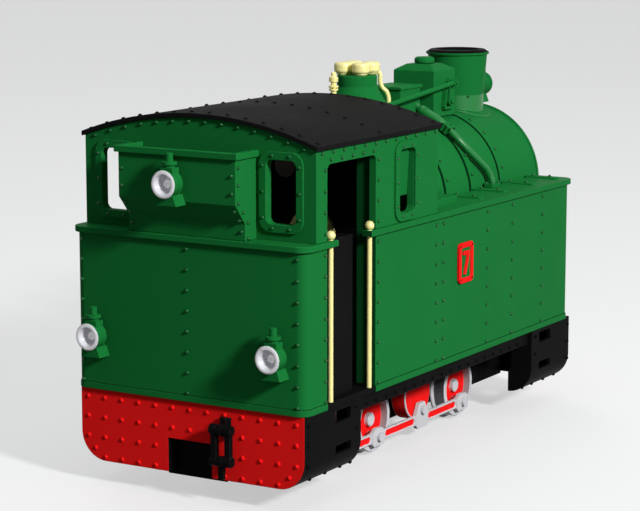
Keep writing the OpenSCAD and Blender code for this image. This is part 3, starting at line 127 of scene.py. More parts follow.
def makePaintGrain():
    # brushed and sprayed enamel: slow drift of tone, small flecks and an orange-peel height
    group, start, end = newGroup(
        "paintGrain", "Shader",
        [("Color", "Color"), ("Drift", "Float"), ("Roughness", "Float"), ("Spread", "Float"),
         ("Grain Scale", "Float")],
        [("Color", "Color"), ("Roughness", "Float"), ("Height", "Float")])
    place = addNode(group, "ShaderNodeTexCoord").outputs["Object"]
    patches = noiseNode(group, *texture["patches"], place)
    flecks = noiseNode(group, *texture["flecks"], place)
    peel = noiseNode(group, start.outputs["Grain Scale"], texture["peelDetail"], place)
    broad = mathNode(group, "MULTIPLY", patches, texture["patchShare"])
    fine = mathNode(group, "MULTIPLY", flecks, texture["fleckShare"])
    tone = mathNode(group, "ADD", broad, fine)
    darker = mixColor(group, 1.0, start.outputs["Color"], texture["darker"], "MULTIPLY")
    spread = spreadNode(group, tone, *texture["toneSpan"], 0.0, 1.0)
    amount = mathNode(group, "MULTIPLY", spread, start.outputs["Drift"])
    group.links.new(mixColor(group, amount, start.outputs["Color"], darker), end.inputs["Color"])
    shine = mathNode(group, "MULTIPLY", mathNode(group, "SUBTRACT", tone, 0.5), start.outputs["Spread"])
    group.links.new(mathNode(group, "ADD", start.outputs["Roughness"], shine), end.inputs["Roughness"])
    group.links.new(peel, end.inputs["Height"])
    return group


def makeEdgeWearAndHighlight():
    # paint rubbed thin along the softened edges, in broken patches, in a lighter tone that is partly a
    # painted edge highlight
    group, start, end = newGroup(
        "edgeRub", "Shader",
        [("Color", "Color"), ("Rubbed", "Color"), ("Amount", "Float")], [("Color", "Color")])
    place = addNode(group, "ShaderNodeTexCoord").outputs["Object"]
    edge = addNode(group, "ShaderNodeAttribute", attribute_name="edge").outputs["Fac"]
    broken = spreadNode(group, noiseNode(group, *texture["rub"], place), *texture["rubSpan"], 0.0, 1.0)
    mask = mathNode(group, "MULTIPLY", mathNode(group, "MULTIPLY", edge, broken), start.outputs["Amount"])
    rubbed = mixColor(group, mask, start.outputs["Color"], start.outputs["Rubbed"])
    group.links.new(rubbed, end.inputs["Color"])
    return group


def makeSettledDust():
    # thin grey film on faces that look up
    group, start, end = newGroup(
        "settledDust", "Shader",
        [("Color", "Color"), ("Dust", "Color"), ("Amount", "Float")], [("Color", "Color")])
    place = addNode(group, "ShaderNodeTexCoord").outputs["Object"]
    way = addNode(group, "ShaderNodeSeparateXYZ")
    group.links.new(addNode(group, "ShaderNodeNewGeometry").outputs["Normal"], way.inputs[0])
    up = spreadNode(group, way.outputs["Z"], texture["dustSlope"], 1.0, 0.0, 1.0)
    noise = noiseNode(group, *texture["dust"], place)
    cloud = spreadNode(group, noise, *texture["dustSpan"], texture["dustLeast"], 1.0)
    mask = mathNode(group, "MULTIPLY", mathNode(group, "MULTIPLY", up, cloud), start.outputs["Amount"])
    dusty = mixColor(group, mask, start.outputs["Color"], start.outputs["Dust"])
    group.links.new(dusty, end.inputs["Color"])
    return group


paintGrain = makePaintGrain()
edgeRub = makeEdgeWearAndHighlight()
settledDust = makeSettledDust()

# screen colours; the edge amount and its lighter colour are for worn edges with a painted edge highlight,
# bump for the grain's height, gloss for the shine of the paint
finishes = {
    "greenPaint": {"color": (25, 116, 53), "rubbed": (64, 150, 90), "roughness": 0.4, "drift": 0.1,
                   "rub": 0.25, "grain": 1300, "bump": 0.04},
    "glossGreen": {"color": (26, 120, 55), "rubbed": (64, 150, 90), "roughness": 0.3, "drift": 0.1,
                   "rub": 0.25, "grain": 1300, "bump": 0.03, "gloss": 0.4},
    # a darker green than the plates for the rivet heads, as painted shade
    "rivetGreen": {"color": (16, 90, 41), "rubbed": (64, 150, 90), "roughness": 0.24, "drift": 0.05,
                   "rub": 0.0, "grain": 1300, "bump": 0.0, "gloss": 0.2},
    "shadeGreen": {"color": (6, 40, 18), "rubbed": (25, 116, 53), "roughness": 0.5, "drift": 0.2,
                   "rub": 0.2, "grain": 1300, "bump": 0.04},
    "blackPaint": {"color": (18, 18, 18), "rubbed": (60, 60, 62), "roughness": 0.45, "drift": 0.25,
                   "rub": 0.25, "grain": 1500, "bump": 0.05},
    "roofBlack": {"color": (25, 25, 26), "rubbed": (74, 74, 76), "roughness": 0.55, "drift": 0.25,
                  "rub": 0.2, "dust": 0.01, "grain": 1100, "bump": 0.06},
    "redPaint": {"color": (255, 30, 30), "rubbed": (255, 120, 104), "roughness": 0.4, "drift": 0.1,
                 "rub": 0.2, "grain": 1300, "bump": 0.04},
    "whitePaint": {"color": (212, 212, 216), "rubbed": (160, 160, 160), "roughness": 0.36, "drift": 0.14,
                   "rub": 0.25, "dust": 0.02, "grain": 1500, "bump": 0.04},
    "creamBrass": {"color": (255, 244, 164), "rubbed": (255, 246, 205), "roughness": 0.34, "drift": 0.1,
                   "rub": 0.4, "grain": 1800, "bump": 0.03, "metal": 0.1, "gloss": 0.3},
    # grey in place of the wheels' white on the rim's inside, as painted shade
    "rimGrey": {"color": (164, 171, 175), "rubbed": (200, 200, 202), "roughness": 0.4, "drift": 0.2,
                "rub": 0.2, "grain": 1500, "bump": 0.04},
    # a dark brass for the gauges inside the cab, as painted shade
    "agedBrass": {"color": (38, 32, 22), "rubbed": (120, 100, 64), "roughness": 0.4, "drift": 0.3,
                  "rub": 0.4, "dust": 0.02, "grain": 1800, "bump": 0.03, "metal": 0.6, "gloss": 0.4},
    # a darker green for faces in the cab's shade and the line along the tanks' foot, as painted shade
    "innerGreen": {"color": (16, 76, 35), "rubbed": (40, 110, 64), "roughness": 0.45, "drift": 0.15,
                   "rub": 0.2, "grain": 1300, "bump": 0.04},
    "steel": {"color": (178, 178, 180), "rubbed": (220, 220, 222), "roughness": 0.36, "drift": 0.3,
              "rub": 0.5, "dust": 0.04, "grain": 2400, "bump": 0.05, "metal": 0.9, "gloss": 0.5},
    "treadSteel": {"color": (96, 96, 99), "rubbed": (190, 190, 192), "roughness": 0.4, "drift": 0.3,
                   "rub": 0.5, "dust": 0.04, "grain": 2400, "bump": 0.05, "metal": 0.5, "gloss": 0.5},
    "copper": {"color": (196, 120, 82), "rubbed": (230, 166, 130), "roughness": 0.36, "drift": 0.35,
               "rub": 0.4, "dust": 0.04, "grain": 2000, "bump": 0.04, "metal": 0.9, "gloss": 0.5},
    "lampWhite": {"color": (228, 228, 234), "rubbed": (246, 246, 248), "roughness": 0.3, "drift": 0.08,
                  "rub": 0.2, "grain": 2400, "bump": 0.02, "gloss": 0.3},
    # the bulb glows faintly though the lamp is unlit, painted light so that it shows in the dish's shade
    "bulbGlass": {"color": (196, 196, 200), "rubbed": (250, 250, 250), "roughness": 0.15, "drift": 0.08,
                  "rub": 0.1, "grain": 2400, "bump": 0.01, "gloss": 0.5, "glow": 0.22},
}
coat = {"spread": 0.3, "dustColor": (170, 166, 158), "grainDepth": 0.2, "plainGloss": 0.008}


def makeFinish(name, look):
    finish = bpy.data.materials.new(name)
    finish.use_nodes = True
    tree = finish.node_tree
    shader = tree.nodes["Principled BSDF"]
    shader.inputs["Metallic"].default_value = look.get("metal", 0.0)
    shader.inputs["Specular IOR Level"].default_value = look.get("gloss", coat["plainGloss"])
    shader.inputs["Emission Color"].default_value = (1.0, 1.0, 1.0, 1.0)
    shader.inputs["Emission Strength"].default_value = look.get("glow", 0.0)
    grain = addNode(tree, "ShaderNodeGroup", node_tree=paintGrain)
    grain.inputs["Color"].default_value = screenColor(*look["color"])
    grain.inputs["Drift"].default_value = look["drift"]
    grain.inputs["Roughness"].default_value = look["roughness"]
    grain.inputs["Spread"].default_value = coat["spread"]
    grain.inputs["Grain Scale"].default_value = look["grain"]
    rub = addNode(tree, "ShaderNodeGroup", node_tree=edgeRub)
    rub.inputs["Rubbed"].default_value = screenColor(*look["rubbed"])
    rub.inputs["Amount"].default_value = look["rub"]
    dust = addNode(tree, "ShaderNodeGroup", node_tree=settledDust)
    dust.inputs["Dust"].default_value = screenColor(*coat["dustColor"])
    dust.inputs["Amount"].default_value = look.get("dust", 0.0)
    bump = addNode(tree, "ShaderNodeBump")
    bump.inputs["Strength"].default_value = look["bump"]
    bump.inputs["Distance"].default_value = coat["grainDepth"] * mm
    tree.links.new(grain.outputs["Color"], rub.inputs["Color"])
    tree.links.new(rub.outputs["Color"], dust.inputs["Color"])
    tree.links.new(dust.outputs["Color"], shader.inputs["Base Color"])
    tree.links.new(grain.outputs["Roughness"], shader.inputs["Roughness"])
    tree.links.new(grain.outputs["Height"], bump.inputs["Height"])
    tree.links.new(bump.outputs["Normal"], shader.inputs["Normal"])
    return finish


paint = {name: makeFinish(name, look) for name, look in finishes.items()}
slotPaint = {"green_paint": "greenPaint", "black_paint": "blackPaint", "red_paint": "redPaint",
             "pale_metal": "whitePaint", "lamp_bright": "lampWhite", "steel": "steel", "brass": "creamBrass",
             "copper": "copper"}
nodePaint = {node: slotPaint[slot] for node, slot in nodeSlot.items()}
nodePaint["cab_roof"] = "roofBlack"
# the backhead gauges in dark brass, painted shade inside the cab
nodePaint["backhead_gauges"] = "agedBrass"
for node, thing in frame["nodes"].items():
    for slot in thing.material_slots:
        slot.material = paint[nodePaint[node]]
print("finishes:", len(paint))


# sheet metal with softened edges, in place of the sharp solids

cleaning = {"weld": 0.002, "flat": 0.7}


def cleanCopy(node):
    mesh = frame["nodes"][node].data.copy()
    mesh.name = node
    while mesh.uv_layers:
        mesh.uv_layers.remove(mesh.uv_layers[0])
    if mesh.attributes.get("custom_normal"):
        mesh.attributes.remove(mesh.attributes["custom_normal"])
    mesh.materials.clear()
    work = bmesh.new()
    work.from_mesh(mesh)
    bmesh.ops.remove_doubles(work, verts=work.verts, dist=cleaning["weld"] * mm)
    bmesh.ops.dissolve_limit(work, angle_limit=math.radians(cleaning["flat"]), use_dissolve_boundaries=False,
                             verts=work.verts, edges=work.edges, delimit=set())
    work.to_mesh(mesh)
    work.free()
    return mesh


def evaluated(piece):
    # the piece's modifiers, made into one plain mesh
    bpy.context.view_layer.update()
    graph = bpy.context.evaluated_depsgraph_get()
    mesh = bpy.data.meshes.new_from_object(piece.evaluated_get(graph), depsgraph=graph)
    old = piece.data
    piece.modifiers.clear()
    piece.data = mesh
    bpy.data.meshes.remove(old)
    return piece


def pieceName(node):
    first, *rest = node.split("_")
    return first + "".join(word.capitalize() for word in rest)


def markEdges(mesh, angle, leave, crease):
    # weight 1 on each edge to soften; a crease line is only shaded sharp
    work = bmesh.new()
    work.from_mesh(mesh)
    weight = work.edges.layers.float.new("bevel_weight_edge")
    for edge in work.edges:
        middle = (edge.verts[0].co + edge.verts[1].co) / 2 / mm
        bend = edge.calc_face_angle(0.0)
        edge.smooth = bend < angle
        if bend >= angle and not (leave and leave(middle)):
            edge[weight] = 1.0
        elif crease and crease(middle, edge.verts[0].co / mm, edge.verts[1].co / mm):
            edge.smooth = False
    for face in work.faces:
        face.smooth = True
    work.to_mesh(mesh)
    work.free()


def softened(node, width, pick=None, others=(), edgePaint=None, angle=30, leave=None, crease=None, rounds=2):
    mesh = cleanCopy(node)
    base = paint[nodePaint[node]]
    piece = addThing(pieceName(node), mesh)
    mesh.materials.append(base)
    for name in others:
        mesh.materials.append(paint[name])
    if pick:
        for face in mesh.polygons:
            face.material_index = pick(face.center / mm, face.normal)
    markEdges(mesh, math.radians(angle), leave, crease)
    bevel = piece.modifiers.new("edges", "BEVEL")
    bevel.width = width * mm
    bevel.segments = rounds
    bevel.limit_method = "WEIGHT"
    bevel.harden_normals = True
    bevel.use_clamp_overlap = False
    marked = not pick
    if marked:
        mesh.materials.append(paint[edgePaint] if edgePaint else base)
        bevel.material = len(mesh.materials) - 1
    evaluated(piece)
    mesh = piece.data
    if marked and not edgePaint:
        # the new strips are marked for the worn paint and painted edge highlight, then take the piece's own
        # finish
        strip = len(mesh.materials) - 1
        marks = [1.0 if face.material_index == strip else 0.0 for face in mesh.polygons]
        edge = mesh.attributes.new("edge", "FLOAT", "FACE")
        edge.data.foreach_set("value", marks)
        mesh.polygons.foreach_set("material_index", [0] * len(mesh.polygons))
        mesh.materials.pop(index=strip)
    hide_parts(node)
    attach(piece, nodeBody[node])


softEdges = {  # edge width in mm for each plain solid
    "rear_tank": 0.3, "cab_roof": 0.25, "window_frames": 0.25, "coal_bunker": 0.25, "footplate": 0.2,
    "skirts": 0.25, "main_frame": 0.2, "smokebox_saddle": 0.25, "smokebox": 0.2, "chimney_cap": 0.2,
    "sandbox": 0.4, "regulator_box": 0.35, "coupling_brackets": 0.2, "rear_coupling_link": 0.2,
    "front_coupling_link": 0.2, "rear_coupling_tail": 0.2, "front_coupling_tail": 0.2, "lamp_bodies": 0.15,
    "whistle": 0.15, "cab_locker": 0.3, "smokebox_door": 0.2, "sander_lever": 0.15,
}
for node, width in softEdges.items():
    softened(node, width)
turnedEdges = {  # edge width in mm and steps for each turned solid
    "steam_dome": (0.15, 2), "safety_valves": (0.5, 4), "sandbox_cap": (0.5, 4),
}
for node, (width, rounds) in turnedEdges.items():
    softened(node, width, rounds=rounds, angle=20)
print("softened solids:", len(softEdges) + len(turnedEdges))

tanks = {"edge": 0.22, "doorEnd": -60.0}


def tankFace(middle, way):
    # the end inside the doorway is painted a darker green, as painted shade
    return 1 if way.x < -0.9 and middle.x < tanks["doorEnd"] else 0


for node in ("left_tank", "right_tank"):
    softened(node, tanks["edge"], tankFace, ["innerGreen"])

beams = {"edge": 0.3, "outside": 60}


def beamFace(middle, way):
    # only the outer face is red
    return 0 if way.x * middle.x > beams["outside"] else 1


for node in ("rear_buffer_beam", "front_buffer_beam"):
    softened(node, beams["edge"], beamFace, ["blackPaint"])

cabShell = {"edge": 0.2, "seamSide": 50.78, "rear": -109.6, "front": -12.7}


def cabSeam(middle):
    # the side and end plates meet flush, so no edge shows there
    corner = abs(middle.x - cabShell["rear"]) < 0.3 or abs(middle.x - cabShell["front"]) < 0.3
    return corner and abs(abs(middle.y) - cabShell["seamSide"]) < 0.3


softened("cab_sides", cabShell["edge"], leave=cabSeam)
softened("cab_ends", cabShell["edge"], leave=cabSeam)

stack = {"edge": 0.15, "middle": 106.9, "bore": 10.6, "footTop": 142.6}


def stackFace(middle, way):
    # the chimney's bore painted black, and a glossier foot
    if math.hypot(middle.x - stack["middle"], middle.y) < stack["bore"] and abs(way.z) < 0.5:
        return 1
    return 2 if middle.z < stack["footTop"] and abs(way.z) < 0.3 else 0


def stackLine(middle, first, second):
    return abs(first.z - stack["footTop"]) < 0.05 and abs(second.z - stack["footTop"]) < 0.05


softened("chimney", stack["edge"], stackFace, ["blackPaint", "glossGreen"], crease=stackLine)

barrel = {"edge": 0.15, "bandEdge": 0.1, "axis": 102.2, "skin": 34.05, "backhead": -18.0}


def bandFace(middle, way):
    # the rear step of each band is kept dark, as its shadow line
    reach = math.hypot(middle.y, middle.z - barrel["axis"])
    return 1 if way.x < -0.9 and reach > barrel["skin"] else 0


def backheadFace(middle, way):
    return 1 if middle.x < barrel["backhead"] else 0


softened("boiler_cladding", barrel["bandEdge"], bandFace, ["shadeGreen"])
softened("boiler_barrel", barrel["edge"], backheadFace, ["blackPaint"])

wheels = {"edge": 0.2, "webOut": 11.2, "webFace": 24.7, "axles": (-57.6, -19.2, 57.6), "height": 15,
          "tread": (13.0, 14.0), "rimIn": 9.0, "crankEdge": 0.55}


def wheelFace(middle, way):
    # the sunk web between hub and rim is red, the rim's inside painted grey in place of white as painted
    # shade, the running surface bare
    axle = min(wheels["axles"], key=lambda x: abs(x - middle.x))
    reach = math.hypot(middle.x - axle, middle.z - wheels["height"])
    low, high = wheels["tread"]
    web = abs(way.y) > 0.9 and abs(abs(middle.y) - wheels["webFace"]) < 0.2
    if web and reach < wheels["webOut"]:
        return 1
    rim = wheels["rimIn"] < reach < low and abs(middle.y) > wheels["webFace"]
    if rim and abs(way.y) < 0.6:
        return 3
    return 2 if abs(way.y) < 0.3 and low < reach < high else 0


for node in ("rear_wheels", "middle_wheels", "front_wheels"):
    softened(node, wheels["edge"], wheelFace, ["redPaint", "treadSteel", "rimGrey"])
softened("jackshaft_cranks", wheels["crankEdge"], edgePaint="whitePaint")

pins = {"edge": 0.12, "from": 25.9}


def pinFace(middle, way):
    # hub ends and pin heads are painted with the wheels
    return 1 if abs(middle.y) > pins["from"] else 0


for node in ("rear_axle", "middle_axle", "front_axle", "jackshaft"):
    softened(node, pins["edge"], pinFace, ["whitePaint"])

rods = {"edge": 0.22, "flute": 29.35}


def rodFace(middle, way):
    return 1 if abs(way.y) > 0.9 and abs(abs(middle.y) - rods["flute"]) < 0.1 else 0


for node in ("left_coupling_rod", "right_coupling_rod"):
    softened(node, rods["edge"], rodFace, ["redPaint"])

lamps = {"edge": 0.14, "bulb": 1.05,
         "spots": ((-124.2, 0, 126.7, -1), (-117.5, 42.2, 62.1, -1), (-117.5, -42.2, 62.1, -1),
                   (117.5, 42.2, 62.1, 1), (117.5, -42.2, 62.1, 1), (124.2, 0, 145.5, 1))}


def lampFace(middle, way):
    # white only where the ring and dish look forwards; the ring's back and rim stay green
    x, y, z, ahead = min(lamps["spots"], key=lambda s: (Vector(s[:3]) - middle).length)
    reach = math.hypot(middle.y - y, middle.z - z)
    # the bulb takes the faintly glowing paint, a painted light
    if reach < lamps["bulb"]:
        return 2
    return 0 if way.x * ahead > 0.2 else 1


softened("lamp_reflectors", lamps["edge"], lampFace, ["greenPaint", "bulbGlass"])

plates = {"edge": 0.2, "floor": 54.6}


def plateFace(middle, way):
    return 1 if abs(way.y) > 0.9 and abs(abs(middle.y) - plates["floor"]) < 0.15 else 0


softened("number_plates", plates["edge"], plateFace, ["greenPaint"])
print("painted solids done")


# node trees that turn runs of points into one smooth, painted mesh

def newRunTree(name, inputs):
    shape = [("Geometry", "Geometry")]
    tree, start, end = newGroup(name, "Geometry", [*shape, *inputs, ("Paint", "Material")], shape)
    curve = tree.nodes.new("GeometryNodeMeshToCurve")
    real = tree.nodes.new("GeometryNodeRealizeInstances")
    smooth = tree.nodes.new("GeometryNodeSetShadeSmooth")
    painted = tree.nodes.new("GeometryNodeSetMaterial")
    link = tree.links.new
    link(start.outputs["Geometry"], curve.inputs["Mesh"])
    link(real.outputs["Geometry"], smooth.inputs["Geometry"])
    link(smooth.outputs["Geometry"], painted.inputs["Geometry"])
    link(start.outputs["Paint"], painted.inputs["Material"])
    link(painted.outputs["Geometry"], end.inputs["Geometry"])
    return tree, start, curve.outputs["Curve"], real.inputs["Geometry"]


def storedValue(tree, name, kind):
    node = addNode(tree, "GeometryNodeInputNamedAttribute", data_type=kind)
    node.inputs["Name"].default_value = name
    return node.outputs["Attribute"]


# pipes: a smooth run of points with a thickness, drawn as a tube

def makePipeTree():
    tree, start, curve, shape = newRunTree("pipeRun", [("Sides", "Int")])
    thick = storedValue(tree, "thick", "FLOAT")
    radius = tree.nodes.new("GeometryNodeSetCurveRadius")
    ring = tree.nodes.new("GeometryNodeCurvePrimitiveCircle")
    ring.inputs["Radius"].default_value = 1.0
    tube = tree.nodes.new("GeometryNodeCurveToMesh")
    tube.inputs["Fill Caps"].default_value = True
    link = tree.links.new
    link(curve, radius.inputs["Curve"])
    link(thick, radius.inputs["Radius"])
    link(start.outputs["Sides"], ring.inputs["Resolution"])
    link(radius.outputs["Curve"], tube.inputs["Curve"])
    link(ring.outputs["Curve"], tube.inputs["Profile Curve"])
    if "Scale" in tube.inputs:
        link(thick, tube.inputs["Scale"])
    link(tube.outputs["Mesh"], shape)
    return tree


pipeTree = makePipeTree()
tubes = {"sides": 20, "sharp": 50}


def smoothRun(spots, steps):
    # Catmull-Rom through rows of x, y, z and radius
    rows = [spots[0], *spots, spots[-1]]
    run = []
    for a, b, c, d in zip(rows, rows[1:], rows[2:], rows[3:]):
        for i in range(steps):
            t = i / steps
            run.append([0.5 * (2 * q + (r - p) * t + (2 * p - 5 * q + 4 * r - s) * t * t
                               + (3 * q - p - 3 * r + s) * t ** 3) for p, q, r, s in zip(a, b, c, d)])
    return run + [list(spots[-1])]


def setInputs(setter, tree, values):
    for item in tree.interface.items_tree:
        if item.in_out == "INPUT" and item.name in values:
            setter[item.identifier] = values[item.name]


def makeTube(name, spots, steps, finish):
    run = smoothRun(spots, steps)
    mesh = bpy.data.meshes.new(name)
    mesh.from_pydata([[value * mm for value in point[:3]] for point in run],
                     [(i, i + 1) for i in range(len(run) - 1)], [])
    mesh.attributes.new("thick", "FLOAT", "POINT").data.foreach_set("value", [point[3] * mm for point in run])
    piece = addThing(name, mesh)
    setter = piece.modifiers.new("tube", "NODES")
    setter.node_group = pipeTree
    setInputs(setter, pipeTree, {"Sides": tubes["sides"], "Paint": paint[finish]})
    evaluated(piece)
    if piece.data.attributes.get("thick"):
        piece.data.attributes.remove(piece.data.attributes["thick"])
    piece.data.set_sharp_from_angle(angle=math.radians(tubes["sharp"]))
    return piece


square = ((1, 0, 0), (0, 1, 0), (0, 0, 1))


def spanBox(*spans):
    # a block square to the axes, from its limits along x, y and z
    middle = tuple((low + high) / 2 for low, high in spans)
    return middle, tuple((high - low) / 2 for low, high in spans), square


def roundFaces(name, work, finish, edge):
    # one piece from the faces in work, with softened edges
    bmesh.ops.recalc_face_normals(work, faces=work.faces)
    mesh = bpy.data.meshes.new(name)
    work.to_mesh(mesh)
    work.free()
    mesh.materials.append(paint[finish])
    piece = addThing(name, mesh)
    soft = piece.modifiers.new("edges", "BEVEL")
    soft.width = edge * mm
    soft.segments = 2
    return evaluated(piece)


def roundBoxes(name, boxes, finish, edge):
    # blocks given by middle, half sizes and a turned frame, in one piece
    work = bmesh.new()
    for middle, half, axes in boxes:
        corners = []
        for sx in (-1, 1):
            for sy in (-1, 1):
                for sz in (-1, 1):
                    spot = Vector(middle)
                    for sign, size, axis in zip((sx, sy, sz), half, axes):
                        spot = spot + sign * size * Vector(axis)
                    corners.append(work.verts.new(spot * mm))
        for loop in ((0, 1, 3, 2), (4, 6, 7, 5), (0, 4, 5, 1), (2, 3, 7, 6), (0, 2, 6, 4), (1, 5, 7, 3)):
            work.faces.new([corners[i] for i in loop])
    return roundFaces(name, work, finish, edge)


def unitWay(turn):
    # cosine and sine of an angle in degrees
    return math.cos(math.radians(turn)), math.sin(math.radians(turn))


def boilerSpot(x, turn, reach):
    # a point round the boiler, by its angle above the right-hand side
    across, up = unitWay(turn)
    return (x, -reach * across, barrel["axis"] + reach * up)


def boilerFrame(turn):
    # axes at that angle: along the boiler, outwards and round it
    across, up = unitWay(turn)
    return ((1, 0, 0), (0, -across, up), (0, up, across))


mainPipe = {"reach": 36.9, "foot": (71.0, -37.0), "footTop": 106.75, "joint": 54, "jointX": 56.2,
            "flange": (2.9, 1.95, 0.75), "flangeTurn": 1.7, "plate": (4.0, 2.15, 0.88), "plateMiddle": 105.93,
            "edge": 0.2, "bolt": (0.42, 0.42, 2.5), "boltSide": 2.2, "boltOut": 0.9, "boltEdge": 0.15,
            "footScrews": (3.1, 1.45), "steps": 8,
            "fromBox": ((54.2, -6.8, 141.5, 1.7), (54.2, -8.8, 140.4, 1.7), (54.2, -9.6, 139.9, 2.3),
                        (54.4, -13.0, 138.0, 2.3), (55.2, -17.4, 135.5, 2.1)),
            "turns": ((56.2, 54, 1.7), (56.2, 47, 1.5), (57.2, 40.2, 1.5), (59.9, 31.9, 1.5),
                      (64.6, 23.4, 1.5), (68.3, 17.7, 1.5), (70.3, 12.8, 1.5)),
            "toFoot": ((70.9, -36.7, 108.4, 1.5), (71.0, -37.0, 106.4, 1.5))}
pipeSpots = list(mainPipe["fromBox"])
pipeSpots += [(*boilerSpot(x, turn, mainPipe["reach"]), radius) for x, turn, radius in mainPipe["turns"]]
pipeSpots += mainPipe["toFoot"]
steamPipe = makeTube("steamPipe", pipeSpots, mainPipe["steps"], "glossGreen")
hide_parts("steam_pipe")
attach(steamPipe, "engine")

joint = mainPipe["joint"]
jointBoxes = []
for turn in (joint - mainPipe["flangeTurn"], joint + mainPipe["flangeTurn"]):
    middle = boilerSpot(mainPipe["jointX"], turn, mainPipe["reach"])
    jointBoxes.append((middle, mainPipe["flange"], boilerFrame(turn)))
jointBoxes.append(((*mainPipe["foot"], mainPipe["plateMiddle"]), mainPipe["plate"], square))
pipeJoints = roundBoxes("pipeJoints", jointBoxes, "greenPaint", mainPipe["edge"])
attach(pipeJoints, "engine")
boltBoxes = []
for side in (-1, 1):
    x = mainPipe["jointX"] + side * mainPipe["boltSide"]
    middle = boilerSpot(x, joint, mainPipe["reach"] + mainPipe["boltOut"])
    boltBoxes.append((middle, mainPipe["bolt"], boilerFrame(joint)))
pipeBolts = roundBoxes("pipeBolts", boltBoxes, "blackPaint", mainPipe["boltEdge"])
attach(pipeBolts, "engine")

# a thin dark green tube round the boiler behind each band, a painted shadow line
bandLines = {"reach": 34.05, "radius": 0.5, "rear": (31.75, 55.25, 84.4), "turns": range(-2, 183, 4)}
for number, x in enumerate(bandLines["rear"]):
    spots = [(*boilerSpot(x, turn, bandLines["reach"]), bandLines["radius"]) for turn in bandLines["turns"]]
    bandShadow = makeTube("bandLine" + str(number + 1), spots, 1, "shadeGreen")
    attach(bandShadow, "engine")

# a thin darker green tube along the top of the tanks' bottom bead, a painted shade line in that crease
beadLine = {"radius": 0.22, "height": 41.9, "side": 54.0, "corner": 4.3, "rear": -117.5, "front": 117.5,
            "doorRear": -101.6, "doorFront": -64.2, "inner": 36.0}


def cornerRun(x, y, reach, first, last, steps=6):
    turns = [math.radians(first + (last - first) * i / steps) for i in range(steps + 1)]
    return [(x + reach * math.cos(turn), y + reach * math.sin(turn)) for turn in turns]


runs = []
reach = beadLine["corner"]
edge = beadLine["side"] - reach
rearX = beadLine["rear"] + reach
frontX = beadLine["front"] - reach
runs.append([(beadLine["doorRear"], -beadLine["side"]), *cornerRun(rearX, -edge, reach, 270, 180),
             *cornerRun(rearX, edge, reach, 180, 90), (beadLine["doorRear"], beadLine["side"])])
for side in (-1, 1):
    runs.append([(beadLine["doorFront"], side * beadLine["side"]),
                 *[(x, side * y) for x, y in cornerRun(frontX, edge, reach, 90, 0)],
                 (beadLine["front"], side * beadLine["inner"])])
for number, run in enumerate(runs):
    spots = [(x, y, beadLine["height"], beadLine["radius"]) for x, y in run]
    line = makeTube("beadLine" + str(number + 1), spots, 1, "innerGreen")
    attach(line, "engine")

blowOff = {"turn": -50, "dome": 13.5, "radius": 1.0, "steps": 6,
           "reach": ((7.0, 161.4), (8.6, 160.2), (10.05, 157.9), (10.15, 154.6), (11.2, 152.2), (13.0, 150.4),
                     (13.9, 147.4), (13.9, 143.0), (13.9, 135.4))}
outX, outY = unitWay(blowOff["turn"])
reliefSpots = [(blowOff["dome"] + reach * outX, reach * outY, z, blowOff["radius"])
               for reach, z in blowOff["reach"]]
reliefPipe = makeTube("reliefPipe", reliefSpots, blowOff["steps"], "creamBrass")
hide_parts("relief_pipe")
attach(reliefPipe, "engine")

sandBracket = {"face": -10.5, "deep": 1.1, "foot": (75.9, 139.1), "footHalf": (4.4, 0.55),
               "slope": ((71.6, 139.4), (73.1, 147.6)), "thick": 0.5, "edge": 0.15}
(lowX, lowZ), (highX, highZ) = sandBracket["slope"]
slope = Vector((highX - lowX, 0, highZ - lowZ))
tilt = slope.normalized()
bracketY = sandBracket["face"] - sandBracket["deep"]
(footX, footZ), (halfX, halfZ) = sandBracket["foot"], sandBracket["footHalf"]
bracketFoot = ((footX, bracketY, footZ), (halfX, sandBracket["deep"], halfZ), square)
armMiddle = ((lowX + highX) / 2, bracketY, (lowZ + highZ) / 2)
armHalf = (sandBracket["thick"], sandBracket["deep"], slope.length / 2)
bracketArm = (armMiddle, armHalf, ((tilt.z, 0, -tilt.x), (0, 1, 0), tuple(tilt)))
bracket = roundBoxes("sandBracket", [bracketFoot, bracketArm], "greenPaint", sandBracket["edge"])
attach(bracket, "engine")
print("pipes and bracket done")

cabFittings = {"post": ((-63.1, -62.3), (44.4, 50.78), (105.1, 139.6)), "pane": (-44.4, -31.8),
               "paneTop": (51.5, 134.3), "paneFoot": (50.4, 115.0), "paneThick": 0.3, "edge": 0.12}
postBoxes = []
paneBoxes = []
postX, (postIn, postOut), postZ = cabFittings["post"]
for side in (-1, 1):
    postBoxes.append(spanBox(postX, sorted((side * postIn, side * postOut)), postZ))
    # the side window's shutter, tilted in at its foot
    top = Vector((0, side * cabFittings["paneTop"][0], cabFittings["paneTop"][1]))
    foot = Vector((0, side * cabFittings["paneFoot"][0], cabFittings["paneFoot"][1]))
    up = (top - foot).normalized()
    rear, front = cabFittings["pane"]
    middle = (top + foot) / 2 + Vector(((rear + front) / 2, 0, 0))
    half = ((front - rear) / 2, cabFittings["paneThick"], (top - foot).length / 2)
    paneBoxes.append((tuple(middle), half, ((1, 0, 0), (0, up.z, -up.y), tuple(up))))
# the door posts take the darker green as painted shade
cabPieces = (("doorPosts", postBoxes, "innerGreen"), ("windowShutters", paneBoxes, "greenPaint"))
for name, boxes, finish in cabPieces:
    fitting = roundBoxes(name, boxes, finish, cabFittings["edge"])
    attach(fitting, "engine")
print("cab fittings done")

notchBacks = {"rear": (-111.3, -110.5), "front": (115.5, 116.3), "half": 14.0, "heights": (7.3, 32.0),
              "strip": ((115.9, 118.3), (35.3, 50.6), (38.3, 39.1)), "edge": 0.12}
notchY = (-notchBacks["half"], notchBacks["half"])
backBoxes = [spanBox(notchBacks[end], notchY, notchBacks["heights"]) for end in ("rear", "front")]
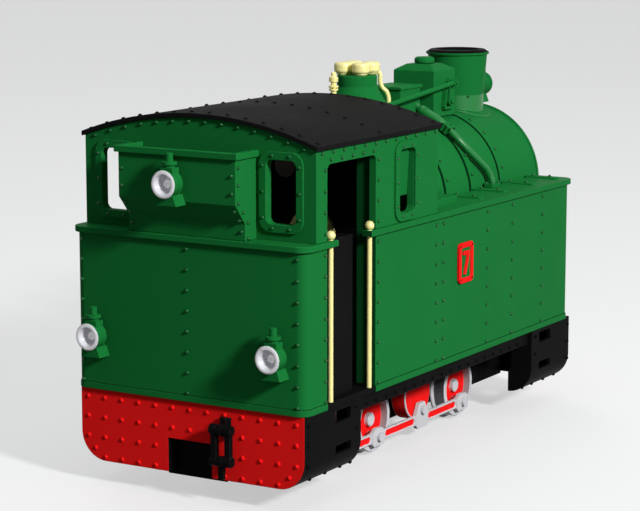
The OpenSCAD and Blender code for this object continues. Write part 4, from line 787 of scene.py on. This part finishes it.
# a strip under the slit between each side tank and the front beam
stripX, (stripIn, stripOut), stripZ = notchBacks["strip"]
for side in (-1, 1):
    backBoxes.append(spanBox(stripX, sorted((side * stripIn, side * stripOut)), stripZ))
backs = roundBoxes("notchBacks", backBoxes, "blackPaint", notchBacks["edge"])
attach(backs, "engine")
print("beam backs done")


# rivets: runs of points with a count and a facing, set with heads

rivetHead = {"segments": 8, "rings": 5}


def makeRivetTree():
    tree, start, curve, shape = newRunTree("rivetRuns", [("Head Radius", "Float"), ("Head Height", "Float")])
    spaced = addNode(tree, "GeometryNodeResampleCurve", mode="COUNT")
    ball = tree.nodes.new("GeometryNodeMeshUVSphere")
    ball.inputs["Segments"].default_value = rivetHead["segments"]
    ball.inputs["Rings"].default_value = rivetHead["rings"]
    ball.inputs["Radius"].default_value = 1.0
    size = tree.nodes.new("ShaderNodeCombineXYZ")
    head = tree.nodes.new("GeometryNodeTransform")
    turn = addNode(tree, "FunctionNodeAlignRotationToVector", axis="Z")
    placed = tree.nodes.new("GeometryNodeInstanceOnPoints")
    link = tree.links.new
    link(curve, spaced.inputs["Curve"])
    link(storedValue(tree, "count", "INT"), spaced.inputs["Count"])
    link(start.outputs["Head Radius"], size.inputs["X"])
    link(start.outputs["Head Radius"], size.inputs["Y"])
    link(start.outputs["Head Height"], size.inputs["Z"])
    link(ball.outputs["Mesh"], head.inputs["Geometry"])
    link(size.outputs["Vector"], head.inputs["Scale"])
    link(spaced.outputs["Curve"], placed.inputs["Points"])
    link(head.outputs["Geometry"], placed.inputs["Instance"])
    link(storedValue(tree, "facing", "FLOAT_VECTOR"), turn.inputs["Vector"])
    link(turn.outputs["Rotation"], placed.inputs["Rotation"])
    link(placed.outputs["Instances"], shape)
    return tree


rivetTree = makeRivetTree()


def addRun(store, first, last, count, facing):
    store.append(([first, last], [facing, facing], count))


def addOne(store, spot, facing):
    # a run needs two ends, so the other one lies close by
    x, y, z = spot
    store.append(([spot, (x, y, z + 0.01)], [facing, facing], 1))


def setRivets(name, store, finish, head, body):
    points, edges, facings, counts = [], [], [], []
    for run, ways, count in store:
        first = len(points)
        points += [[value * mm for value in point] for point in run]
        edges += [(first + i, first + i + 1) for i in range(len(run) - 1)]
        facings += [value for way in ways for value in way]
        counts += [count] * len(run)
    mesh = bpy.data.meshes.new(name)
    mesh.from_pydata(points, edges, [])
    mesh.attributes.new("facing", "FLOAT_VECTOR", "POINT").data.foreach_set("vector", facings)
    mesh.attributes.new("count", "INT", "POINT").data.foreach_set("value", counts)
    piece = addThing(name, mesh)
    setter = piece.modifiers.new("rivets", "NODES")
    setter.node_group = rivetTree
    values = {"Head Radius": head["radius"] * mm, "Head Height": head["height"] * mm, "Paint": paint[finish]}
    setInputs(setter, rivetTree, values)
    evaluated(piece)
    for left in ("facing", "count"):
        if piece.data.attributes.get(left):
            piece.data.attributes.remove(piece.data.attributes[left])
    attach(piece, body)


bodyRivets = {
    "radius": 0.84, "height": 0.95, "pitch": 8.16, "topRow": 99.9, "rows": 8, "side": 54.0,
    "columns": (-103.3, -62.4, -13.6, -7.4, 33.1, 57.3, 87.9),
    "doorColumns": (-103.3, -62.4), "doorHead": 132.5, "doorRows": 4,
    "doorTop": (-98.9, -66.4, 136.2, 5), "eave": (-105.6, -15.6, 139.1, 12),
    "rearPlate": -117.5, "rearColumns": (-50.5, 0, 50.5), "frontPlate": 117.5, "frontColumns": (-50.5, 50.5),
    "cabRear": -109.6, "cabFront": -12.7, "frame": 0.64,
    "roofAxis": -6.6, "underRoof": 155.2, "archHalf": 48.8, "archCount": 14,
}
sideWindow = {"x": -39.9, "z": 121.6, "across": 8.1, "up": 9.7, "top": 14.2, "topAcross": 3.7}
rearWindow = {"y": 38.65, "z": 123.7, "across": 8.35, "up": 10.0, "top": 14.0, "topAcross": 3.9}
frontWindow = {"y": 43.55, "z": 123.7, "across": 5.35, "up": 10.0, "top": 14.0, "topAcross": 2.2}


def windowSpots(window):
    spots = [(s * window["across"], k * window["up"]) for s in (-1, 1) for k in (-1, 0, 1)]
    return spots + [(s * window["topAcross"], k * window["top"]) for s in (-1, 1) for k in (-1, 1)]


greenRuns = []
topRow = bodyRivets["topRow"]
low = topRow - bodyRivets["pitch"] * (bodyRivets["rows"] - 1)
cabEnds = ((rearWindow, bodyRivets["cabRear"] - bodyRivets["frame"], -1),
           (frontWindow, bodyRivets["cabFront"] + bodyRivets["frame"], 1))
for side in (-1, 1):
    y = side * bodyRivets["side"]
    out = (0, side, 0)
    for x in bodyRivets["columns"]:
        addRun(greenRuns, (x, y, topRow), (x, y, low), bodyRivets["rows"], out)
    for x in bodyRivets["doorColumns"]:
        first = (x, y, topRow + bodyRivets["pitch"])
        addRun(greenRuns, first, (x, y, bodyRivets["doorHead"]), bodyRivets["doorRows"], out)
    for rear, front, z, count in (bodyRivets["doorTop"], bodyRivets["eave"]):
        addRun(greenRuns, (rear, y, z), (front, y, z), count, out)
    for across, up in windowSpots(sideWindow):
        spot = (sideWindow["x"] + across, y + side * bodyRivets["frame"], sideWindow["z"] + up)
        addOne(greenRuns, spot, out)
    for window, x, way in cabEnds:
        for across, up in windowSpots(window):
            addOne(greenRuns, (x, side * window["y"] + across, window["z"] + up), (way, 0, 0))
for x, columns, way in ((bodyRivets["rearPlate"], bodyRivets["rearColumns"], -1),
                        (bodyRivets["frontPlate"], bodyRivets["frontColumns"], 1)):
    for y in columns:
        addRun(greenRuns, (x, y, topRow), (x, y, low), bodyRivets["rows"], (way, 0, 0))


def archPoints(x, radius, half, axis, steps=40):
    turn = math.asin(half / radius)
    turns = [turn * (1 - 2 * i / steps) for i in range(steps + 1)]
    return [(x, radius * math.sin(t), axis + radius * math.cos(t)) for t in turns], turns


for x, way in ((bodyRivets["cabRear"], -1), (bodyRivets["cabFront"], 1)):
    points, turns = archPoints(x, bodyRivets["underRoof"], bodyRivets["archHalf"], bodyRivets["roofAxis"])
    greenRuns.append((points, [(way, 0, 0)] * len(points), bodyRivets["archCount"]))

bunker = {"half": 27.2, "face": -124.2, "foot": -117.5, "column": 25.5, "faceSpots": (130.7, 123.9),
          "slopeSpots": (117.1, 113.2), "slopeFoot": 111.6, "slopeOut": 6.7, "slopeUp": 7.8,
          "footSpot": 108.6,
          "sideSpots": ((-122.6, 133.8), (-122.6, 127.1), (-122.5, 120.2), (-119.3, 116.4), (-115.8, 112.1),
                        (-115.7, 105.9))}
slopeWay = Vector((-bunker["slopeUp"], 0, -bunker["slopeOut"])).normalized()
for side in (-1, 1):
    y = side * bunker["column"]
    for z in bunker["faceSpots"]:
        addOne(greenRuns, (bunker["face"], y, z), (-1, 0, 0))
    for z in bunker["slopeSpots"]:
        x = bunker["foot"] - bunker["slopeOut"] * (z - bunker["slopeFoot"]) / bunker["slopeUp"]
        addOne(greenRuns, (x, y, z), tuple(slopeWay))
    addOne(greenRuns, (bunker["foot"], y, bunker["footSpot"]), (-1, 0, 0))
    for x, z in bunker["sideSpots"]:
        addOne(greenRuns, (x, side * bunker["half"], z), (0, side, 0))

boiler = {"band": 34.6, "bandMiddles": (34.6, 58.1, 88.1),
          "turns": (16.2, 31.2, 46.2, 61.2, 76.2, 90, 103.8, 118.8, 133.8, 148.8, 163.8),
          "chimney": 106.9, "footTurns": (52, 142, 232, 322), "footReach": 11.9, "footHeight": 142.0,
          "footLift": 0.3}
for x in boiler["bandMiddles"]:
    for turn in boiler["turns"]:
        across, up = unitWay(turn)
        spot = (x, boiler["band"] * across, barrel["axis"] + boiler["band"] * up)
        addOne(greenRuns, spot, (0, across, up))
reach = boiler["footReach"]
for turn in boiler["footTurns"]:
    across, up = unitWay(turn)
    spot = (boiler["chimney"] + reach * across, reach * up, boiler["footHeight"])
    addOne(greenRuns, spot, (across, up, boiler["footLift"]))
straps = {"top": 105.85, "middles": (34.6, 58.1, 86.6, 111.1), "spots": (38.2, 46.4)}
for side in (-1, 1):
    for x in straps["middles"]:
        for y in straps["spots"]:
            addOne(greenRuns, (x, side * y, straps["top"]), (0, 0, 1))
(footX, footY), (screwX, screwY) = mainPipe["foot"], mainPipe["footScrews"]
for x in (-screwX, screwX):
    for y in (-screwY, screwY):
        addOne(greenRuns, (footX + x, footY + y, mainPipe["footTop"]), (0, 0, 1))
setRivets("greenRivets", greenRuns, "rivetGreen", bodyRivets, "engine")

roofRivets = {"radius": 0.9, "height": 0.72, "rows": (-106.9, -60.0, -15.4), "arc": 158.6, "half": 53.0,
              "count": 14}
roofRuns = []
for x in roofRivets["rows"]:
    points, turns = archPoints(x, roofRivets["arc"], roofRivets["half"], bodyRivets["roofAxis"])
    roofRuns.append((points, [(0, math.sin(t), math.cos(t)) for t in turns], roofRivets["count"]))
setRivets("roofRivets", roofRuns, "roofBlack", roofRivets, "engine")

skirtRivets = {"radius": 0.85, "height": 0.75, "face": 52.9, "valance": 50.9, "row": (-65.8, 70.7, 34.2),
               "count": 18,
               "columns": ((-113.6, (35.3, 27.3, 19.1)), (-76.9, (35.4, 26.8)), (85.4, (35.6, 27.5)),
                           (119.6, (35.6, 27.5, 19.4))),
               "roll": (41.0, 21.4, 11.9, 54.0),
               "rollSpots": (-105.0, -93.5, -82.0, -74.0, 82.0, 92.0, 104.0, 115.5)}
skirtRuns = []
for side in (-1, 1):
    out = (0, side, 0)
    rear, front, z = skirtRivets["row"]
    y = side * skirtRivets["valance"]
    addRun(skirtRuns, (rear, y, z), (front, y, z), skirtRivets["count"], out)
    for x, heights in skirtRivets["columns"]:
        for z in heights:
            addOne(skirtRuns, (x, side * skirtRivets["face"], z), out)
    y, z, reach, turn = skirtRivets["roll"]
    across, down = unitWay(turn)
    way = (0, side * across, -down)
    for x in skirtRivets["rollSpots"]:
        addOne(skirtRuns, (x, side * y + reach * way[1], z + reach * way[2]), way)
setRivets("skirtRivets", skirtRuns, "blackPaint", skirtRivets, "engine")

beamRivets = {"radius": 1.0, "height": 0.6, "rear": -116.6, "front": 121.4, "pitch": 8.22,
              "bare": (12.6, 6.0), "notchHalf": 12,
              "rows": ((35.7, 6), (27.65, 6), (19.5, 6), (11.3, 5)), "corner": (46.0, 14.6)}
redRuns = []
for x, way in ((beamRivets["rear"], -1), (beamRivets["front"], 1)):
    for row, (z, reach) in enumerate(beamRivets["rows"]):
        for i in range(-reach, reach + 1):
            y = beamRivets["pitch"] * i
            # none where the coupling's bracket sits, nor in the notch under the middle
            if row in (1, 2) and abs(y - way * beamRivets["bare"][0]) < beamRivets["bare"][1]:
                continue
            if row > 1 and abs(y) < beamRivets["notchHalf"]:
                continue
            addOne(redRuns, (x, y, z), (way, 0, 0))
    for side in (-1, 1):
        addOne(redRuns, (x, side * beamRivets["corner"][0], beamRivets["corner"][1]), (way, 0, 0))
setRivets("redRivets", redRuns, "redPaint", beamRivets, "engine")
print("rivet runs:", len(greenRuns) + len(roofRuns) + len(skirtRuns) + len(redRuns))


# raised figure on each number plate

numberFigure = {"middle": (11.5, 80.8), "back": 54.5, "front": 55.3, "edge": 0.15,
                "outline": ((-2.9, 5.0), (2.9, 5.0), (2.9, 3.3), (-0.2, -5.0), (-2.1, -5.0), (0.9, 3.3),
                            (-2.9, 3.3))}
plateX, plateZ = numberFigure["middle"]
work = bmesh.new()
for side in (-1, 1):
    rows = []
    for depth in (numberFigure["back"], numberFigure["front"]):
        spots = [(plateX - side * u, side * depth, plateZ + v) for u, v in numberFigure["outline"]]
        rows.append([work.verts.new([value * mm for value in spot]) for spot in spots])
    work.faces.new(rows[0])
    work.faces.new(rows[1])
    for i in range(len(rows[0])):
        j = (i + 1) % len(rows[0])
        work.faces.new((rows[0][i], rows[0][j], rows[1][j], rows[1][i]))
figures = roundFaces("plateFigures", work, "redPaint", numberFigure["edge"])
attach(figures, "engine")
# black discs at the plate's corners, painted shade standing for recessed screws
plateHoles = {"across": 5.2, "up": 7.2, "radius": 0.55, "height": 0.14, "face": 55.25}
holeRuns = []
for side in (-1, 1):
    for across in (-plateHoles["across"], plateHoles["across"]):
        for up in (-plateHoles["up"], plateHoles["up"]):
            addOne(holeRuns, (plateX + across, side * plateHoles["face"], plateZ + up), (0, side, 0))
setRivets("plateHoles", holeRuns, "blackPaint", plateHoles, "engine")
print("plate figures done")


# camera, floor and light

studio = {"camera": (-0.8217, -0.4853, 0.2388), "look": (0.8446, 0.5097, -0.1635), "lens": 125.645,
          "sensor": 36.0, "farthest": 100.0,
          "floor": (0.42, 0.425, 0.43, 1.0), "floorGlow": 0.52, "floorUnder": (0.10, 0.10, 0.10, 1.0),
          "floorHalf": 8.0, "floorRough": 0.7, "floorGloss": 0.2,
          "sky": (0.93, 0.96, 1.0, 1.0), "skyLevel": 0.16, "backdrop": (0.69, 0.695, 0.70, 1.0),
          "keyWay": (-0.314, -0.836, 0.45), "keyAway": 1.7, "keySize": 0.2, "keyPower": 28.5,
          "topHeight": 1.8, "topSize": 1.6, "topPower": 7.0,
          "fillWay": (0.60, 0.75, 0.24), "fillSpread": 0.7, "fillPower": 1.1, "aim": (0, 0, 0.08)}

view = bpy.data.cameras.new("photoCamera")
view.sensor_width = studio["sensor"]
view.lens = studio["lens"]
view.clip_end = studio["farthest"]
eye = addThing("photoCamera", view)
eye.location = studio["camera"]
eye.rotation_euler = Vector(studio["look"]).to_track_quat("-Z", "Y").to_euler()
scene.camera = eye


def seenRays(tree):
    # 1 for what the camera sees, straight, through glass or in a reflection
    rays = tree.nodes.new("ShaderNodeLightPath").outputs
    clear = mathNode(tree, "MAXIMUM", rays["Is Camera Ray"], rays["Is Transmission Ray"])
    return mathNode(tree, "MAXIMUM", clear, rays["Is Glossy Ray"])


half = studio["floorHalf"]
floorMesh = bpy.data.meshes.new("floor")
corners = [(-half, -half, 0), (half, -half, 0), (half, half, 0), (-half, half, 0)]
floorMesh.from_pydata(corners, [], [(0, 1, 2, 3)])
floor = addThing("floor", floorMesh)
floorPaint = bpy.data.materials.new("paleFloor")
floorPaint.use_nodes = True
floorTree = floorPaint.node_tree
floorShader = floorTree.nodes["Principled BSDF"]
floorShader.inputs["Roughness"].default_value = studio["floorRough"]
floorShader.inputs["Specular IOR Level"].default_value = studio["floorGloss"]
seen = seenRays(floorTree)
floorTone = mixColor(floorTree, seen, studio["floorUnder"], studio["floor"])
floorTree.links.new(floorTone, floorShader.inputs["Base Color"])
floorShader.inputs["Emission Color"].default_value = (1.0, 1.0, 1.0, 1.0)
floorGlow = mathNode(floorTree, "MULTIPLY", seen, studio["floorGlow"])
floorTree.links.new(floorGlow, floorShader.inputs["Emission Strength"])
floorMesh.materials.append(floorPaint)

world = bpy.data.worlds.new("softStudio")
world.use_nodes = True
skyTree = world.node_tree
sky = skyTree.nodes["Background"]
seenSky = seenRays(skyTree)
skyTree.links.new(mixColor(skyTree, seenSky, studio["sky"], studio["backdrop"]), sky.inputs["Color"])
skyGain = mathNode(skyTree, "MULTIPLY", seenSky, 1.0 - studio["skyLevel"])
skyTree.links.new(mathNode(skyTree, "ADD", skyGain, studio["skyLevel"]), sky.inputs["Strength"])
scene.world = world


def areaLamp(name, size, power, place):
    lamp = bpy.data.lights.new(name, "AREA")
    lamp.size = size
    lamp.energy = power
    holder = addThing(name, lamp)
    holder.location = place
    holder.rotation_euler = (Vector(studio["aim"]) - Vector(place)).to_track_quat("-Z", "Y").to_euler()


keyPlace = Vector(studio["aim"]) + Vector(studio["keyWay"]).normalized() * studio["keyAway"]
areaLamp("keyLamp", studio["keySize"], studio["keyPower"], keyPlace)
areaLamp("topLamp", studio["topSize"], studio["topPower"], (0, 0, studio["topHeight"]))
fill = bpy.data.lights.new("fillLamp", "SUN")
fill.energy = studio["fillPower"]
fill.angle = studio["fillSpread"]
fillLamp = addThing("fillLamp", fill)
fillLamp.location = Vector(studio["fillWay"])
fillLamp.rotation_euler = (-Vector(studio["fillWay"])).to_track_quat("-Z", "Y").to_euler()
fillLamp.visible_glossy = False

scene.view_settings.view_transform = "Standard"
print("studio ready")
